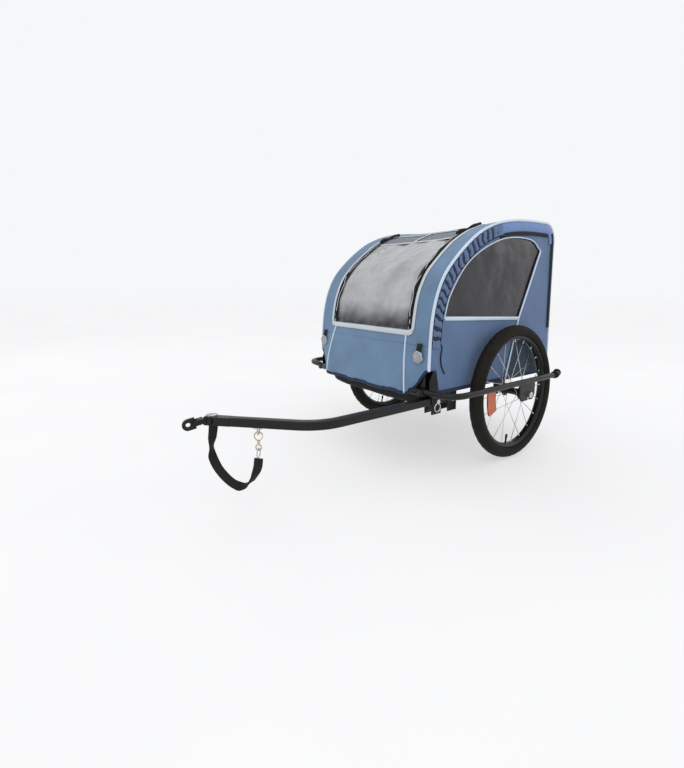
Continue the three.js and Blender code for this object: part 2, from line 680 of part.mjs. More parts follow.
// The hook is a wire bent almost to a ring, on a shank with a closed eye below.
function snapHook() {
  const steps = 20;
  const points = [];
  for (let i = 0; i <= steps; i++) {
    points.push(hookPoint(GATE.to + ((2 * Math.PI + GATE.from - GATE.to) * i) / steps));
  }
  const wire = sweep(circleShape(HOOK.wire), new THREE.CatmullRomCurve3(points), 24, 6);
  const top = strapPoint(STRAP_END, HOOK.ringZ - HOOK.ringR);
  const low = strapPoint(STRAP_END, HOOK.shankZ);
  return join(wire, rod(top, low, 4, 12), uprightRing(STRAP_END, HOOK.lowEyeZ, HOOK.lowEyeR, HOOK.wire, false));
}

// The spring gate closes the hook's mouth.
function snapGate() {
  const low = hookPoint(GATE.from + 0.26);
  const high = hookPoint(GATE.to - 0.26);
  return rod(low, high, GATE.r, 8);
}

function strapEye() {
  const top = BAR.z - BAR.size / 2 - FIT;
  const saddle = box(-12, 12, -8, 8, top - 3, top).rotateZ(Math.PI / 4);
  const centre = strapPoint(STRAP_END, 0);
  return join(saddle.translate(centre.x, centre.y, 0),
    uprightRing(STRAP_END, HOOK.eyeZ, HOOK.eyeR, HOOK.wire, true));
}

function addSafetyStrap() {
  const route = new THREE.CatmullRomCurve3(STRAP_ROUTE.map(([u, z]) => strapPoint(u, z)));
  const half = STRAP.width / 2;
  const thin = STRAP.thickness / 2;
  const section = polygon([[-half, -thin], [half, -thin], [half, thin], [-half, thin]]);
  add('safety_strap', sweep(section, route, 48), MATERIALS.webbing);
  add('strap_eye', strapEye(), MATERIALS.steel);
  add('snap_hook', snapHook(), MATERIALS.brass);
  add('snap_gate', snapGate(), MATERIALS.brass);
  add('strap_ring', uprightRing(STRAP_END, STRAP_RING.z, STRAP_RING.r, STRAP_RING.wire, true), MATERIALS.steel);
}

addBaseFrame();
addGuardsAndDropouts();
addCornerGussets();
addWheels();
addHoops();
addHingeBrackets();
addCovers();
addFloor();
addSeat();
addFrontReflectors();
addTowBar();
addHitch();
addSafetyStrap();

// The origin goes to the middle of the footprint, on the ground.
trailer.updateMatrixWorld(true);
const footprint = new THREE.Box3().setFromObject(trailer);
trailer.position.y = -(footprint.min.y + footprint.max.y) / 2;

export default trailer;
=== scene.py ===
# A child's bicycle trailer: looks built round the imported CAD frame. Metres, in the frame's own axes:
# +Z up, the tow bar points to -Y, +X is the side that carries the tow bar.
import json
import math

import bpy
from mathutils import Matrix, Vector, noise


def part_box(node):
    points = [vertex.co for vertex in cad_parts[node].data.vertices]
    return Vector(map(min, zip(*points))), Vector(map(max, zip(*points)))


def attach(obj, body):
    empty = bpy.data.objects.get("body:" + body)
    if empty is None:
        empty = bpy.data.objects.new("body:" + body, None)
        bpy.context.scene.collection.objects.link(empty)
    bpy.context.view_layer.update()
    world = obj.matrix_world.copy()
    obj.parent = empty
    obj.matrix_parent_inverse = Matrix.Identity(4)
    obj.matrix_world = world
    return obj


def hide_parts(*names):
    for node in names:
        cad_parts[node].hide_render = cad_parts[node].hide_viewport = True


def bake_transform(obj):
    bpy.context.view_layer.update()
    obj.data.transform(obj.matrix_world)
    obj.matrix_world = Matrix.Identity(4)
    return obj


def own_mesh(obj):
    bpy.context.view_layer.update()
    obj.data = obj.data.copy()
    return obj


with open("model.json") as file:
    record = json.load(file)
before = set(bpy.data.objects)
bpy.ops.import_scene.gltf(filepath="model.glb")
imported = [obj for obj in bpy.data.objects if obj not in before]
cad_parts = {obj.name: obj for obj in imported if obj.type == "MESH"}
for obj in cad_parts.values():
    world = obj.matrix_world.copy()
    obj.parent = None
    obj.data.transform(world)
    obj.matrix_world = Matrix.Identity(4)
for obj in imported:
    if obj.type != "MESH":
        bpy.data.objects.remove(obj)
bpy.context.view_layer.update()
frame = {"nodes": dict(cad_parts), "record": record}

MM = 0.001
SIDES = (("left", 1), ("right", -1))
X_AXIS, Y_AXIS, Z_AXIS = (Vector(axis) for axis in ((1, 0, 0), (0, 1, 0), (0, 0, 1)))


# ---- places read from the frame
def centre(node):
    low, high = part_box(node)
    return (low + high) / 2


AXLE = centre("left_tyre")
WHEEL_R = AXLE.z
RAIL = centre("left_rail")
RAIL_R = (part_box("left_rail")[1].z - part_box("left_rail")[0].z) / 2


def place(y, z, x=0.0):
    """A point from millimetres ahead of (-) or behind (+) the axle and above the ground."""
    return Vector((x * MM, AXLE.y + y * MM, z * MM))


# ---- camera
CAMERA_AZIMUTH = math.radians(53.35)
CAMERA_PITCH = math.radians(5.33)
CAMERA_ROLL = math.radians(0.44)
CAMERA_LENS = 19.59
CAMERA_SHIFT = (0.004, -0.0758)
CAMERA_PLACE = (-1451, 636, 1192)


def make_camera():
    data = bpy.data.cameras.new("camera")
    data.lens = CAMERA_LENS
    data.sensor_width = 36.0
    data.shift_x, data.shift_y = CAMERA_SHIFT
    data.clip_start = 0.05
    camera = bpy.data.objects.new("camera", data)
    bpy.context.scene.collection.objects.link(camera)
    sin_a, cos_a = math.sin(CAMERA_AZIMUTH), math.cos(CAMERA_AZIMUTH)
    sin_e, cos_e = math.sin(CAMERA_PITCH), math.cos(CAMERA_PITCH)
    forward = Vector((-sin_a * cos_e, cos_a * cos_e, -sin_e))
    right = Vector((cos_a, sin_a, 0))
    up = right.cross(forward)
    sin_r, cos_r = math.sin(CAMERA_ROLL), math.cos(CAMERA_ROLL)
    level = right * cos_r + up * sin_r
    upright = up * cos_r - right * sin_r
    turn = Matrix((level, upright, -forward)).transposed().to_4x4()
    camera.matrix_world = Matrix.Translation(place(*CAMERA_PLACE)) @ turn
    bpy.context.scene.camera = camera


make_camera()


# ---- mesh helpers
def mesh_object(name, points, faces, material, body=None, smooth=True):
    mesh = bpy.data.meshes.new(name)
    mesh.from_pydata([tuple(p) for p in points], [], faces)
    mesh.materials.append(material)
    mesh.polygons.foreach_set("use_smooth", [smooth] * len(mesh.polygons))
    mesh.update()
    piece = bpy.data.objects.new(name, mesh)
    bpy.context.scene.collection.objects.link(piece)
    if body:
        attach(piece, body)
    return piece


def solidify(piece, thickness):
    """Gives a sheet its thickness, half on each side."""
    modifier = piece.modifiers.new("thickness", "SOLIDIFY")
    modifier.thickness = thickness
    modifier.offset = 0.0
    return piece


def soften(piece, width=0.0015, segments=2):
    modifier = piece.modifiers.new("edges", "BEVEL")
    modifier.width = width
    modifier.segments = segments
    modifier.limit_method = "ANGLE"
    modifier.angle_limit = math.radians(35)
    return piece


def catmull(points, per_span):
    """A smooth curve through points, with per_span steps between each two."""
    padded = [points[0] * 2 - points[1], *points, points[-1] * 2 - points[-2]]
    curve = []
    for a, b, c, d in zip(padded, padded[1:], padded[2:], padded[3:]):
        for i in range(per_span):
            t = i / per_span
            curve.append(0.5 * (2 * b + (c - a) * t + (2 * a - 5 * b + 4 * c - d) * t**2
                                + (3 * b - a - 3 * c + d) * t**3))
    curve.append(points[-1].copy())
    return curve


def length_of(points):
    return sum((b - a).length for a, b in zip(points, points[1:]))


def resample(points, count):
    """count points an equal way apart along a line of points."""
    step = length_of(points) / (count - 1)
    result = [points[0].copy()]
    travelled = 0.0
    for a, b in zip(points, points[1:]):
        span = (b - a).length
        while len(result) < count - 1 and travelled + span >= step * len(result):
            share = (step * len(result) - travelled) / span
            result.append(a.lerp(b, share))
        travelled += span
    result.append(points[-1].copy())
    return result


def frames_along(points, first_normal=None):
    """A tangent and a normal at each point, turned as little as possible from one to the next."""
    tangents = []
    for i in range(len(points)):
        ahead = points[min(i + 1, len(points) - 1)] - points[max(i - 1, 0)]
        tangents.append(ahead.normalized())
    guess = first_normal or Vector((0, 0, 1))
    if abs(guess.dot(tangents[0])) > 0.95:
        guess = Vector((1, 0, 0))
    normal = (guess - tangents[0] * guess.dot(tangents[0])).normalized()
    result = []
    for tangent in tangents:
        normal = (normal - tangent * normal.dot(tangent)).normalized()
        result.append((tangent, normal))
    return result


def ring_faces(rings, count, closed=False):
    """Quads between neighbouring rings of `count` points; closed joins the last ring to the first."""
    faces = []
    for i in range(rings if closed else rings - 1):
        here, there = i * count, (i + 1) % rings * count
        for j in range(count):
            k = (j + 1) % count
            faces.append((here + j, here + k, there + k, there + j))
    return faces


def lofted(name, sections, material, body=None):
    """A closed body through sections of equally many points, capped at both ends."""
    count = len(sections[0])
    last = (len(sections) - 1) * count
    caps = [tuple(reversed(range(count))), tuple(range(last, last + count))]
    faces = ring_faces(len(sections), count) + caps
    return mesh_object(name, [p for section in sections for p in section], faces, material, body)


def sweep(name, points, section, material, body=None, first_normal=None, twist=None):
    """A closed section of (a, b) pairs swept along points: a along the normal, b across it."""
    sections = []
    for i, (point, (tangent, normal)) in enumerate(zip(points, frames_along(points, first_normal))):
        across = tangent.cross(normal)
        if twist:
            turn = Matrix.Rotation(twist(i / (len(points) - 1)), 3, tangent)
            normal, across = turn @ normal, turn @ across
        sections.append([point + normal * a + across * b for a, b in section])
    return lofted(name, sections, material, body)


def band(name, points, normals, half_width, half_thickness, material, body=None):
    """A flat ribbon sewn on along points, lying square to its normals."""
    sections = []
    for i, (point, normal) in enumerate(zip(points, normals)):
        tangent = (points[min(i + 1, len(points) - 1)] - points[max(i - 1, 0)]).normalized()
        across = tangent.cross(normal).normalized()
        sections.append([point + normal * a + across * b for a, b in strip(half_width, half_thickness)])
    return lofted(name, sections, material, body)


def spread(start, end, steps):
    """steps + 1 values an equal way apart."""
    return [start + (end - start) * i / steps for i in range(steps + 1)]


def circle(radius, sides=20, squash=1.0):
    turn = math.tau / sides
    return [(radius * math.cos(i * turn), radius * squash * math.sin(i * turn)) for i in range(sides)]


def strip(half_width, half_thickness):
    """The section of a flat band with rounded edges, thin along the normal."""
    inner = half_width - half_thickness
    return [(-half_thickness, -inner), (0, -half_width), (half_thickness, -inner),
            (half_thickness, inner), (0, half_width), (-half_thickness, inner)]


def tube(name, points, radius, material, body=None, sides=20):
    return sweep(name, points, circle(radius, sides), material, body)


def turned(name, profile, origin, axis, material, body=None, segments=64):
    """A closed (radius, along) profile turned about an axis through origin."""
    axis = axis.normalized()
    side = axis.orthogonal().normalized()
    other = axis.cross(side)
    count = len(profile)
    vertices = []
    for i in range(segments):
        angle = math.tau * i / segments
        outward = side * math.cos(angle) + other * math.sin(angle)
        vertices += [origin + outward * r + axis * along for r, along in profile]
    faces = [(a, d, c, b) for a, b, c, d in ring_faces(segments, count, True)]
    return mesh_object(name, vertices, faces, material, body)


def mirrored(half_profile):
    """A (radius, along) profile from its far end to the middle and back, the same on both sides."""
    return [(r, -along) for r, along in half_profile] + list(reversed(half_profile))


def grid(name, rows, columns, point, material, body=None, keep=None, thickness=0.0):
    """A sheet from point(u, v), u and v from 0 to 1, where keep(u, v) holds at a cell's middle."""
    vertices = [point(i / rows, j / columns) for i in range(rows + 1) for j in range(columns + 1)]
    faces = []
    for i in range(rows):
        for j in range(columns):
            if keep and not keep((i + 0.5) / rows, (j + 0.5) / columns):
                continue
            a = i * (columns + 1) + j
            faces.append((a, a + 1, a + columns + 2, a + columns + 1))
    used = sorted({v for face in faces for v in face})
    index = {v: n for n, v in enumerate(used)}
    piece = mesh_object(name, [vertices[v] for v in used],
                        [tuple(index[v] for v in face) for face in faces], material, body)
    if thickness:
        solidify(piece, thickness)
    return piece


# ---- materials
def scaled(color, factor):
    return tuple(min(1.0, c * factor) for c in color)


class Skin:
    """A Principled material and the few kinds of node that every finish here is made of."""

    def __init__(self, name, color, roughness, metallic=0.0, **inputs):
        self.material = bpy.data.materials.new(name)
        self.material.use_nodes = True
        self.nodes = self.material.node_tree.nodes
        self.links = self.material.node_tree.links
        self.principled = self.nodes["Principled BSDF"]
        self.principled.inputs["Base Color"].default_value = (*color, 1)
        self.principled.inputs["Roughness"].default_value = roughness
        self.principled.inputs["Metallic"].default_value = metallic
        for key, value in inputs.items():
            self.principled.inputs[key.replace("_", " ")].default_value = value

    def node(self, kind, **inputs):
        node = self.nodes.new(f"ShaderNode{kind}")
        for key, value in inputs.items():
            node.inputs[key.replace("_", " ")].default_value = value
        return node

    def coordinates(self, stretch=(1, 1, 1)):
        mapping = self.node("Mapping", Scale=stretch)
        self.links.new(self.node("TexCoord").outputs["Object"], mapping.inputs["Vector"])
        return mapping.outputs["Vector"]

    def noise(self, scale, detail, roughness=0.55, stretch=(1, 1, 1), vector=None):
        texture = self.node("TexNoise", Scale=scale, Detail=detail, Roughness=roughness)
        self.links.new(vector or self.coordinates(stretch), texture.inputs["Vector"])
        return texture.outputs["Fac"]

    def cells(self, scale):
        texture = self.node("TexVoronoi", Scale=scale)
        self.links.new(self.coordinates(), texture.inputs["Vector"])
        return texture.outputs["Distance"]

    def weave(self, pitch):
        """Height of a plain weave with threads `pitch` apart, whatever way the cloth faces."""
        coordinates = self.coordinates()
        product = self.node("Math")
        product.operation = "MULTIPLY"
        for slot, direction in enumerate(("DIAGONAL", "Z")):
            wave = self.node("TexWave", Scale=WAVE_SCALE / pitch, Distortion=0.4)
            wave.wave_type = "BANDS"
            wave.bands_direction = direction
            self.links.new(coordinates, wave.inputs["Vector"])
            self.links.new(wave.outputs["Fac"], product.inputs[slot])
        return product.outputs["Value"]

    def ramp(self, factor, stops):
        ramp = self.node("ValToRGB")
        elements = ramp.color_ramp.elements
        elements[0].position, elements[-1].position = stops[0][0], stops[-1][0]
        elements[0].color = (*stops[0][1], 1)
        elements[-1].color = (*stops[-1][1], 1)
        for position, color in stops[1:-1]:
            elements.new(position).color = (*color, 1)
        self.links.new(factor, ramp.inputs["Fac"])
        return ramp.outputs["Color"]

    def paint(self, shade):
        self.links.new(shade, self.principled.inputs["Base Color"])

    def roughen(self, factor, low, high):
        """Roughness from `low` to `high` over the middle of a noise's range."""
        reach = self.node("MapRange", From_Min=0.3, From_Max=0.7, To_Min=low, To_Max=high)
        self.links.new(factor, reach.inputs["Value"])
        self.links.new(reach.outputs["Result"], self.principled.inputs["Roughness"])

    def bump(self, *heights):
        """Chains bumps of (height, strength, distance) into the shader's normal."""
        normal = None
        for height, strength, distance in heights:
            node = self.node("Bump", Strength=strength, Distance=distance)
            self.links.new(height, node.inputs["Height"])
            if normal:
                self.links.new(normal, node.inputs["Normal"])
            normal = node.outputs["Normal"]
        self.links.new(normal, self.principled.inputs["Normal"])

    def darken_foot(self, shade, foot):
        """Fades a colour to black towards the foot of the piece, along an uneven line."""
        place_on = self.node("TexCoord").outputs["Generated"]
        split = self.node("SeparateXYZ")
        self.links.new(place_on, split.inputs["Vector"])
        height = self.node("Math")
        height.operation = "MULTIPLY_ADD"
        height.inputs[1].default_value = 0.16
        self.links.new(self.noise(5, 3, vector=place_on), height.inputs[0])
        self.links.new(split.outputs["Z"], height.inputs[2])
        fade = self.ramp(height.outputs["Value"], [
            (0.06 + foot * 0.5, (0.02, 0.02, 0.02)), (0.06 + foot, (0.22, 0.22, 0.22)),
            (0.1 + foot * 2, (1, 1, 1))])
        mix = self.node("Mix")
        mix.data_type = "RGBA"
        mix.blend_type = "MULTIPLY"
        mix.inputs["Factor"].default_value = 1
        self.links.new(shade, mix.inputs["A"])
        self.links.new(fade, mix.inputs["B"])
        return mix.outputs["Result"]


WAVE_SCALE = 0.314  # a band texture repeats once a metre at this scale
CLOTH = 0.0022
FILM = 0.0008


def cloth_material(name, color, roughness=0.8, pitch=0.0011, contrast=0.12, sheen=0.25):
    skin = Skin(name, color, roughness, Sheen_Weight=sheen, Sheen_Roughness=0.5, Specular_IOR_Level=0.3)
    broad = skin.noise(7, 4)
    skin.paint(skin.ramp(broad, [
        (0.3, scaled(color, 1 - contrast)), (0.52, color), (0.75, scaled(color, 1 + contrast))]))
    skin.roughen(broad, roughness - 0.08, roughness + 0.06)
    creases = skin.noise(22, 3, 0.5, (1, 1, 0.45))
    skin.bump((creases, 0.22, 0.01), (skin.weave(pitch), 0.25, 0.0004), (skin.noise(420, 2), 0.15, 0.0004))
    return skin.material


def painted_material(name, color, roughness):
    """Powder coat: an orange-peel skin with thin scuffs."""
    skin = Skin(name, color, roughness, Coat_Weight=0.1, Coat_Roughness=0.3, Specular_IOR_Level=0.22)
    scuffs = skin.noise(260, 2, stretch=(1, 0.06, 1))
    skin.paint(skin.ramp(scuffs, [(0.35, color), (0.68, scaled(color, 1.25)), (0.8, scaled(color, 2.6))]))
    skin.roughen(skin.noise(18, 5), roughness - 0.07, roughness + 0.12)
    skin.bump((skin.noise(650, 2), 0.12, 0.0005))
    return skin.material


def metal_material(name, color, roughness):
    skin = Skin(name, color, roughness, 1.0)
    stain = skin.noise(60, 4)
    skin.paint(skin.ramp(stain, [(0.3, scaled(color, 0.72)), (0.7, color)]))
    skin.roughen(stain, roughness + 0.12, roughness - 0.05)
    skin.bump((skin.noise(700, 2, stretch=(1, 1, 0.05)), 0.1, 0.0003))
    return skin.material


def rubber_material(name, color):
    skin = Skin(name, color, 0.72, Specular_IOR_Level=0.1)
    dust = skin.noise(24, 5)
    skin.paint(skin.ramp(dust, [(0.35, color), (0.75, scaled(color, 1.8))]))
    skin.roughen(dust, 0.6, 0.82)
    skin.bump((skin.noise(520, 2), 0.25, 0.0005))
    return skin.material


def film_material(name, color, roughness, alpha, haze, coat, foot=0.0):
    """Clear film over dark mesh: glossy, rippled, a little milky, and darker up to `foot` of its height."""
    skin = Skin(name, color, roughness, Coat_Weight=coat, Coat_Roughness=0.08, Alpha=alpha,
                Specular_IOR_Level=0.3)
    milk = skin.noise(9, 5, 0.6)
    shade = skin.ramp(milk, [(0.3, scaled(color, 1 - haze)), (0.5, color), (0.72, scaled(color, 1 + haze))])
    skin.paint(skin.darken_foot(shade, foot) if foot else shade)
    skin.roughen(milk, roughness, roughness + 0.14)
    skin.bump((skin.noise(14, 4, stretch=(1, 1, 0.6)), 0.35, 0.006))
    return skin.material


def mesh_material(name, color):
    """Open knitted mesh: a net of small holes over a dark ground."""
    skin = Skin(name, color, 0.75)
    holes = skin.cells(480)
    skin.paint(skin.ramp(holes, [(0.12, scaled(color, 0.25)), (0.45, color), (0.7, scaled(color, 1.3))]))
    skin.bump((holes, 0.5, 0.0006))
    return skin.material


def prism_material(name, color, roughness, coat):
    """A moulded reflector: small prisms under a glossy face."""
    skin = Skin(name, color, roughness, Coat_Weight=coat, Coat_Roughness=0.05)
    prisms = skin.cells(330)
    skin.paint(skin.ramp(prisms, [(0.05, scaled(color, 1.25)), (0.6, scaled(color, 0.62))]))
    skin.bump((prisms, 0.6, 0.0008))
    return skin.material


BLUE = cloth_material("blue_fabric", (0.09, 0.15, 0.27), 0.72, sheen=0.12)
FRONT_BLUE = cloth_material("front_blue_fabric", (0.118, 0.2, 0.315), 0.66, contrast=0.2, sheen=0.12)
# The side cloth's blue made lighter: a painted sheen along the roof edge.
SHEEN_BLUE = cloth_material("painted_sheen_blue_edge", (0.115, 0.2, 0.43), 0.5, sheen=0.15)
TEAL = cloth_material("teal_pocket", (0.028, 0.055, 0.085), 0.75, contrast=0.35, sheen=0.1)
# Navy: the real colour of the hems, and painted shade in the grooves of the gathered edge.
NAVY = cloth_material("navy_hem_and_painted_gather_shade", (0.012, 0.022, 0.06), 0.8, sheen=0.05)
BLACK_CLOTH = cloth_material("black_fabric", (0.009, 0.009, 0.01), 0.85, contrast=0.3, sheen=0.04)
PIPING = cloth_material("silver_piping", (0.55, 0.63, 0.74), 0.45, contrast=0.08, sheen=0.1)
SILVER_BAND = cloth_material("silver_band", (0.52, 0.55, 0.58), 0.42, contrast=0.1, sheen=0.1)
WEBBING = cloth_material("black_webbing", (0.006, 0.006, 0.007), 0.75, 0.0022, 0.3, 0.03)
FRAME_PAINT = painted_material("black_powder_coat", (0.006, 0.006, 0.006), 0.34)
RIM_PAINT = painted_material("black_rim", (0.006, 0.006, 0.006), 0.3)
RUBBER = rubber_material("tyre_rubber", (0.011, 0.0095, 0.0075))
PLASTIC = rubber_material("black_plastic", (0.007, 0.007, 0.007))
STEEL = metal_material("zinc_steel", (0.62, 0.63, 0.65), 0.28)
SPOKE_STEEL = metal_material("spoke_steel", (0.72, 0.73, 0.75), 0.2)
BRASS = metal_material("brass", (0.68, 0.55, 0.36), 0.24)
FRONT_FILM = film_material("front_film", (0.36, 0.365, 0.375), 0.2, 0.95, 0.2, 0.6, 0.13)
SIDE_FILM = film_material("side_film", (0.02, 0.016, 0.019), 0.14, 0.88, 0.5, 0.35)
ROOF_MESH = mesh_material("roof_mesh", (0.16, 0.18, 0.2))
CLEAR_PRISM = prism_material("clear_reflector", (0.36, 0.37, 0.39), 0.25, 0.6)
ORANGE_PRISM = prism_material("orange_reflector", (0.62, 0.1, 0.006), 0.3, 0.3)


# ---- safety strap
BAR_END = place(-1014.19, 262, 107.81)
ALONG_BAR = Vector((1, 1, 0)).normalized()
STRAP_ROUTE = [
    (-23, 247.6), (-24, 235), (-27, 210), (-29.5, 185), (-28, 161), (-20, 140), (-8, 120), (8, 102),
    (27, 86), (49, 76), (68, 78), (85, 92), (97, 113), (105, 135), (108, 160.9)]
STRAP_TWIST = [(0, 66), (0.09, 48), (0.2, 3), (0.3, 48), (0.4, 72), (0.6, 76), (0.71, 18), (0.79, -28),
               (0.92, -66), (1, -80)]
STRAP_WIDTH = 0.025


def strap_point(u, z):
    """A place below the bar's last stretch; the bar ends at u = 30, and u grows back along it."""
    return Vector((BAR_END.x, BAR_END.y, z * MM)) + ALONG_BAR * (u - 30) * MM


def make_strap():
    route = resample(catmull([strap_point(u, z) for u, z in STRAP_ROUTE], 12), 120)

    def turn(share):
        """The strap is twisted: it shows its face, then its edge, and turns over at the bottom."""
        for (a, low), (b, high) in zip(STRAP_TWIST, STRAP_TWIST[1:]):
            if share <= b:
                t = (share - a) / (b - a)
                return math.radians(low + (high - low) * t * t * (3 - 2 * t))
        return math.radians(STRAP_TWIST[-1][1])

    strap = sweep("safety_strap_webbing", route, strip(STRAP_WIDTH / 2, 0.0011), WEBBING, "tow_bar",
                  first_normal=ALONG_BAR, twist=turn)
    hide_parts("safety_strap")
    tuple(route[0])
    round(length_of(route), 3)
    [tuple(p) for p in route]


make_strap()


# ---- stage
def make_stage():
    """A pale floor that glows a little, so that its shadows stay light."""
    skin = Skin("floor", (0.4, 0.4, 0.4), 0.8, Specular_IOR_Level=0.1, Emission_Color=(1, 1, 1, 1),
                Emission_Strength=0.52)
    skin.paint(skin.ramp(skin.noise(1.5, 2), [(0.3, (0.39, 0.39, 0.395)), (0.7, (0.41, 0.41, 0.41))]))
    reach = 30
    corners = [(-reach, -reach, 0), (reach, -reach, 0), (reach, reach, 0), (-reach, reach, 0)]
    floor = mesh_object("floor", corners, [(0, 1, 2, 3)], skin.material, smooth=False)
    world = bpy.data.worlds.new("studio")
    world.use_nodes = True
    background = world.node_tree.nodes["Background"]
    background.inputs["Color"].default_value = (0.97, 0.98, 1.0, 1)
    background.inputs["Strength"].default_value = 0.95
    bpy.context.scene.world = world
    lights = (("key", (2.2, -2.4, 3.2), 3.0, 24), ("fill", (-3.0, -1.5, 2.2), 3.0, 8),
              ("top", (0.2, 0.6, 3.6), 3.5, 12), ("rim", (1.5, 3.5, 2.0), 2.0, 6))
    for name, position, size, power in lights:
        data = bpy.data.lights.new(name, "AREA")
        data.size = size
        data.energy = power
        light = bpy.data.objects.new(name, data)
        bpy.context.scene.collection.objects.link(light)
        light.location = position
        aim = Vector((0, 0.1, 0.4)) - light.location
        light.rotation_euler = aim.to_track_quat("-Z", "Y").to_euler()
    bpy.context.scene.view_settings.view_transform = "Standard"


make_stage()


# ---- base frame and tow bar
def finish(piece, slot_name, *nodes):
    """Hides the CAD nodes that a piece stands for; its slot_name is not used."""
    if nodes:
        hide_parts(*nodes)
    return piece


def make_base_frame():
    for side, sign in SIDES:
        low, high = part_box(f"{side}_rail")
        ends = [Vector((sign * RAIL.x, y, RAIL.z)) for y in (low.y, low.y + 0.2, high.y - 0.2, high.y)]
        rail = tube(f"{side}_rail_tube", ends, RAIL_R, FRAME_PAINT, "chassis", 28)
        finish(soften(rail), "frame_black", f"{side}_rail")
    for name in ("front_cross_tube", "axle_cross_tube", "rear_cross_tube"):
        low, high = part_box(name)
        middle = centre(name)
        ends = [Vector((x, middle.y, middle.z)) for x in (low.x, low.x / 3, high.x / 3, high.x)]
        piece = tube(f"{name}_smooth", ends, RAIL_R, FRAME_PAINT, "chassis", 28)
        finish(soften(piece), "frame_black", name)


GUARD_R = (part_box("left_wheel_guard")[1].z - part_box("left_wheel_guard")[0].z) / 2
GUARD = {"x": 404, "z": 300, "corner": 80, "straight_end": 185, "end_x": 386, "end_y": 245, "front": -440}


def bezier(a, b, c, steps):
    return [a * (1 - t) ** 2 + b * 2 * t * (1 - t) + c * t**2 for t in (i / steps for i in range(steps + 1))]


def guard_line(sign):
    g = GUARD

    def at(x, y):
        return place(y, g["z"], sign * x)

    start = RAIL.x / MM + RAIL_R / MM + 0.6
    corner = bezier(at(g["x"] - g["corner"], g["front"]), at(g["x"], g["front"]),
                    at(g["x"], g["front"] + g["corner"]), 16)
    tail = bezier(at(g["x"], g["straight_end"]), at(g["x"], (g["straight_end"] + g["end_y"]) / 2),
                  at(g["end_x"], g["end_y"]), 8)
    return [at(start, g["front"]), *corner, *tail]


def make_guards():
    for side, sign in SIDES:
        line = resample(guard_line(sign), 70)
        guard = tube(f"{side}_guard_tube", line, GUARD_R, FRAME_PAINT, "chassis", 24)
        finish(guard, "frame_black", f"{side}_wheel_guard")
        tip, before = line[-1], line[-4]
        heading = (tip - before).normalized()
        cap = turned(f"{side}_guard_cap", [
            (0, -0.004), (0.0098, -0.02), (0.0125, -0.021), (0.0136, -0.012), (0.0126, -0.009),
            (0.0142, -0.003), (0.0142, 0.002), (0.011, 0.0065), (0, 0.0075)],
            tip, heading, PLASTIC, "chassis", 32)
        finish(cap, "frame_black")
        clamp_at = place(190, GUARD["z"], sign * GUARD["x"])
        collar = mirrored([(0.0101, 0.011), (0.0128, 0.011), (0.0136, 0.008)])
        clamp = turned(f"{side}_guard_clamp", collar, clamp_at, Y_AXIS, PLASTIC, "chassis", 32)
        finish(clamp, "frame_black")


def rounded_square(half, corner):
    section = []
    steps = 5
    for quarter, (sx, sy) in enumerate(((1, 1), (-1, 1), (-1, -1), (1, -1))):
        for i in range(steps + 1):
            angle = math.pi / 2 * (quarter + i / steps)
            section.append((sx * (half - corner) + corner * math.cos(angle),
                            sy * (half - corner) + corner * math.sin(angle)))
    return section


BAR_HALF = (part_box("tow_bar")[1].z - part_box("tow_bar")[0].z) / 2 - 0.0001


def make_tow_bar():
    """Square tube with rounded edges: straight, one bend inwards, straight."""
    bend = place(-836, 262, 286)
    cut = 66 * MM
    start = place(-305, 262, 286)
    into = bend + Y_AXIS * cut
    out = bend - ALONG_BAR * cut
    line = resample([start, *bezier(into, bend, out, 14), BAR_END.copy()], 90)
    bar = sweep("tow_bar_tube", line, rounded_square(BAR_HALF, 0.0035), FRAME_PAINT, "tow_bar",
                first_normal=Z_AXIS)
    finish(soften(bar, 0.001), "frame_black", "tow_bar")
    h = BAR_HALF - 0.0001
    eye = turned("tow_bar_pivot_end", [
        (0.0064, -h), (h - 0.0004, -h), (h, 0.0004 - h), (h, h - 0.0004), (h - 0.0004, h), (0.0064, h)],
        start, X_AXIS, FRAME_PAINT, "tow_bar", 40)
    finish(eye, "frame_black")


def dress_cad_nodes():
    """CAD parts whose shape is right keep it and get their material."""
    finishes = {
        "frame_black": FRAME_PAINT, "bright_steel": STEEL, "brass": BRASS, "reflector_clear": CLEAR_PRISM,
        "reflector_orange": ORANGE_PRISM, "spoke_steel": SPOKE_STEEL, "tyre_rubber": RUBBER,
        "rim_black": RIM_PAINT, "blue_fabric": BLUE, "black_fabric": BLACK_CLOTH, "webbing_black": WEBBING,
        "smoked_vinyl": SIDE_FILM, "black_mesh": ROOF_MESH}
    for row in frame["record"]["subparts"]:
        node = frame["nodes"][row["node"]]
        node.data.materials.clear()
        node.data.materials.append(finishes[row["material_slot"]])


dress_cad_nodes()
make_base_frame()
make_guards()
make_tow_bar()


# ---- wheels
TYRE_HALF = (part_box("left_tyre")[1].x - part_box("left_tyre")[0].x) / 2
SPOKE_COUNT = 20


def make_tyre(side, hub):
    """A tyre with two rows of shallow tread blocks and a moulded line on each wall."""
    segments, around = 180, 36
    section = TYRE_HALF + 0.0005
    middle = WHEEL_R - section
    opening = math.radians(130)
    vertices = []
    for i in range(segments):
        angle = math.tau * i / segments
        for j in range(around + 1):
            lean = -opening + 2 * opening * j / around
            tread = abs(lean) < math.radians(58)
            groove = 0.0012 if tread and (i + (2 if lean > 0 else 0)) % 4 == 0 else 0.0
            centre_groove = 0.001 if abs(lean) < math.radians(5) else 0.0
            wall_line = 0.0007 if 0.95 < abs(lean) / 1.32 < 1.05 else 0.0
            r = section - 0.0004 - groove - centre_groove + wall_line
            ring = middle + r * math.cos(lean)
            vertices.append(wheel_point(hub, r * math.sin(lean), ring, angle))
    faces = ring_faces(segments, around + 1, True)
    tyre = mesh_object(f"{side}_tyre_rubber", vertices, faces, RUBBER, f"{side}_wheel")
    finish(tyre, "tyre_rubber", f"{side}_tyre")


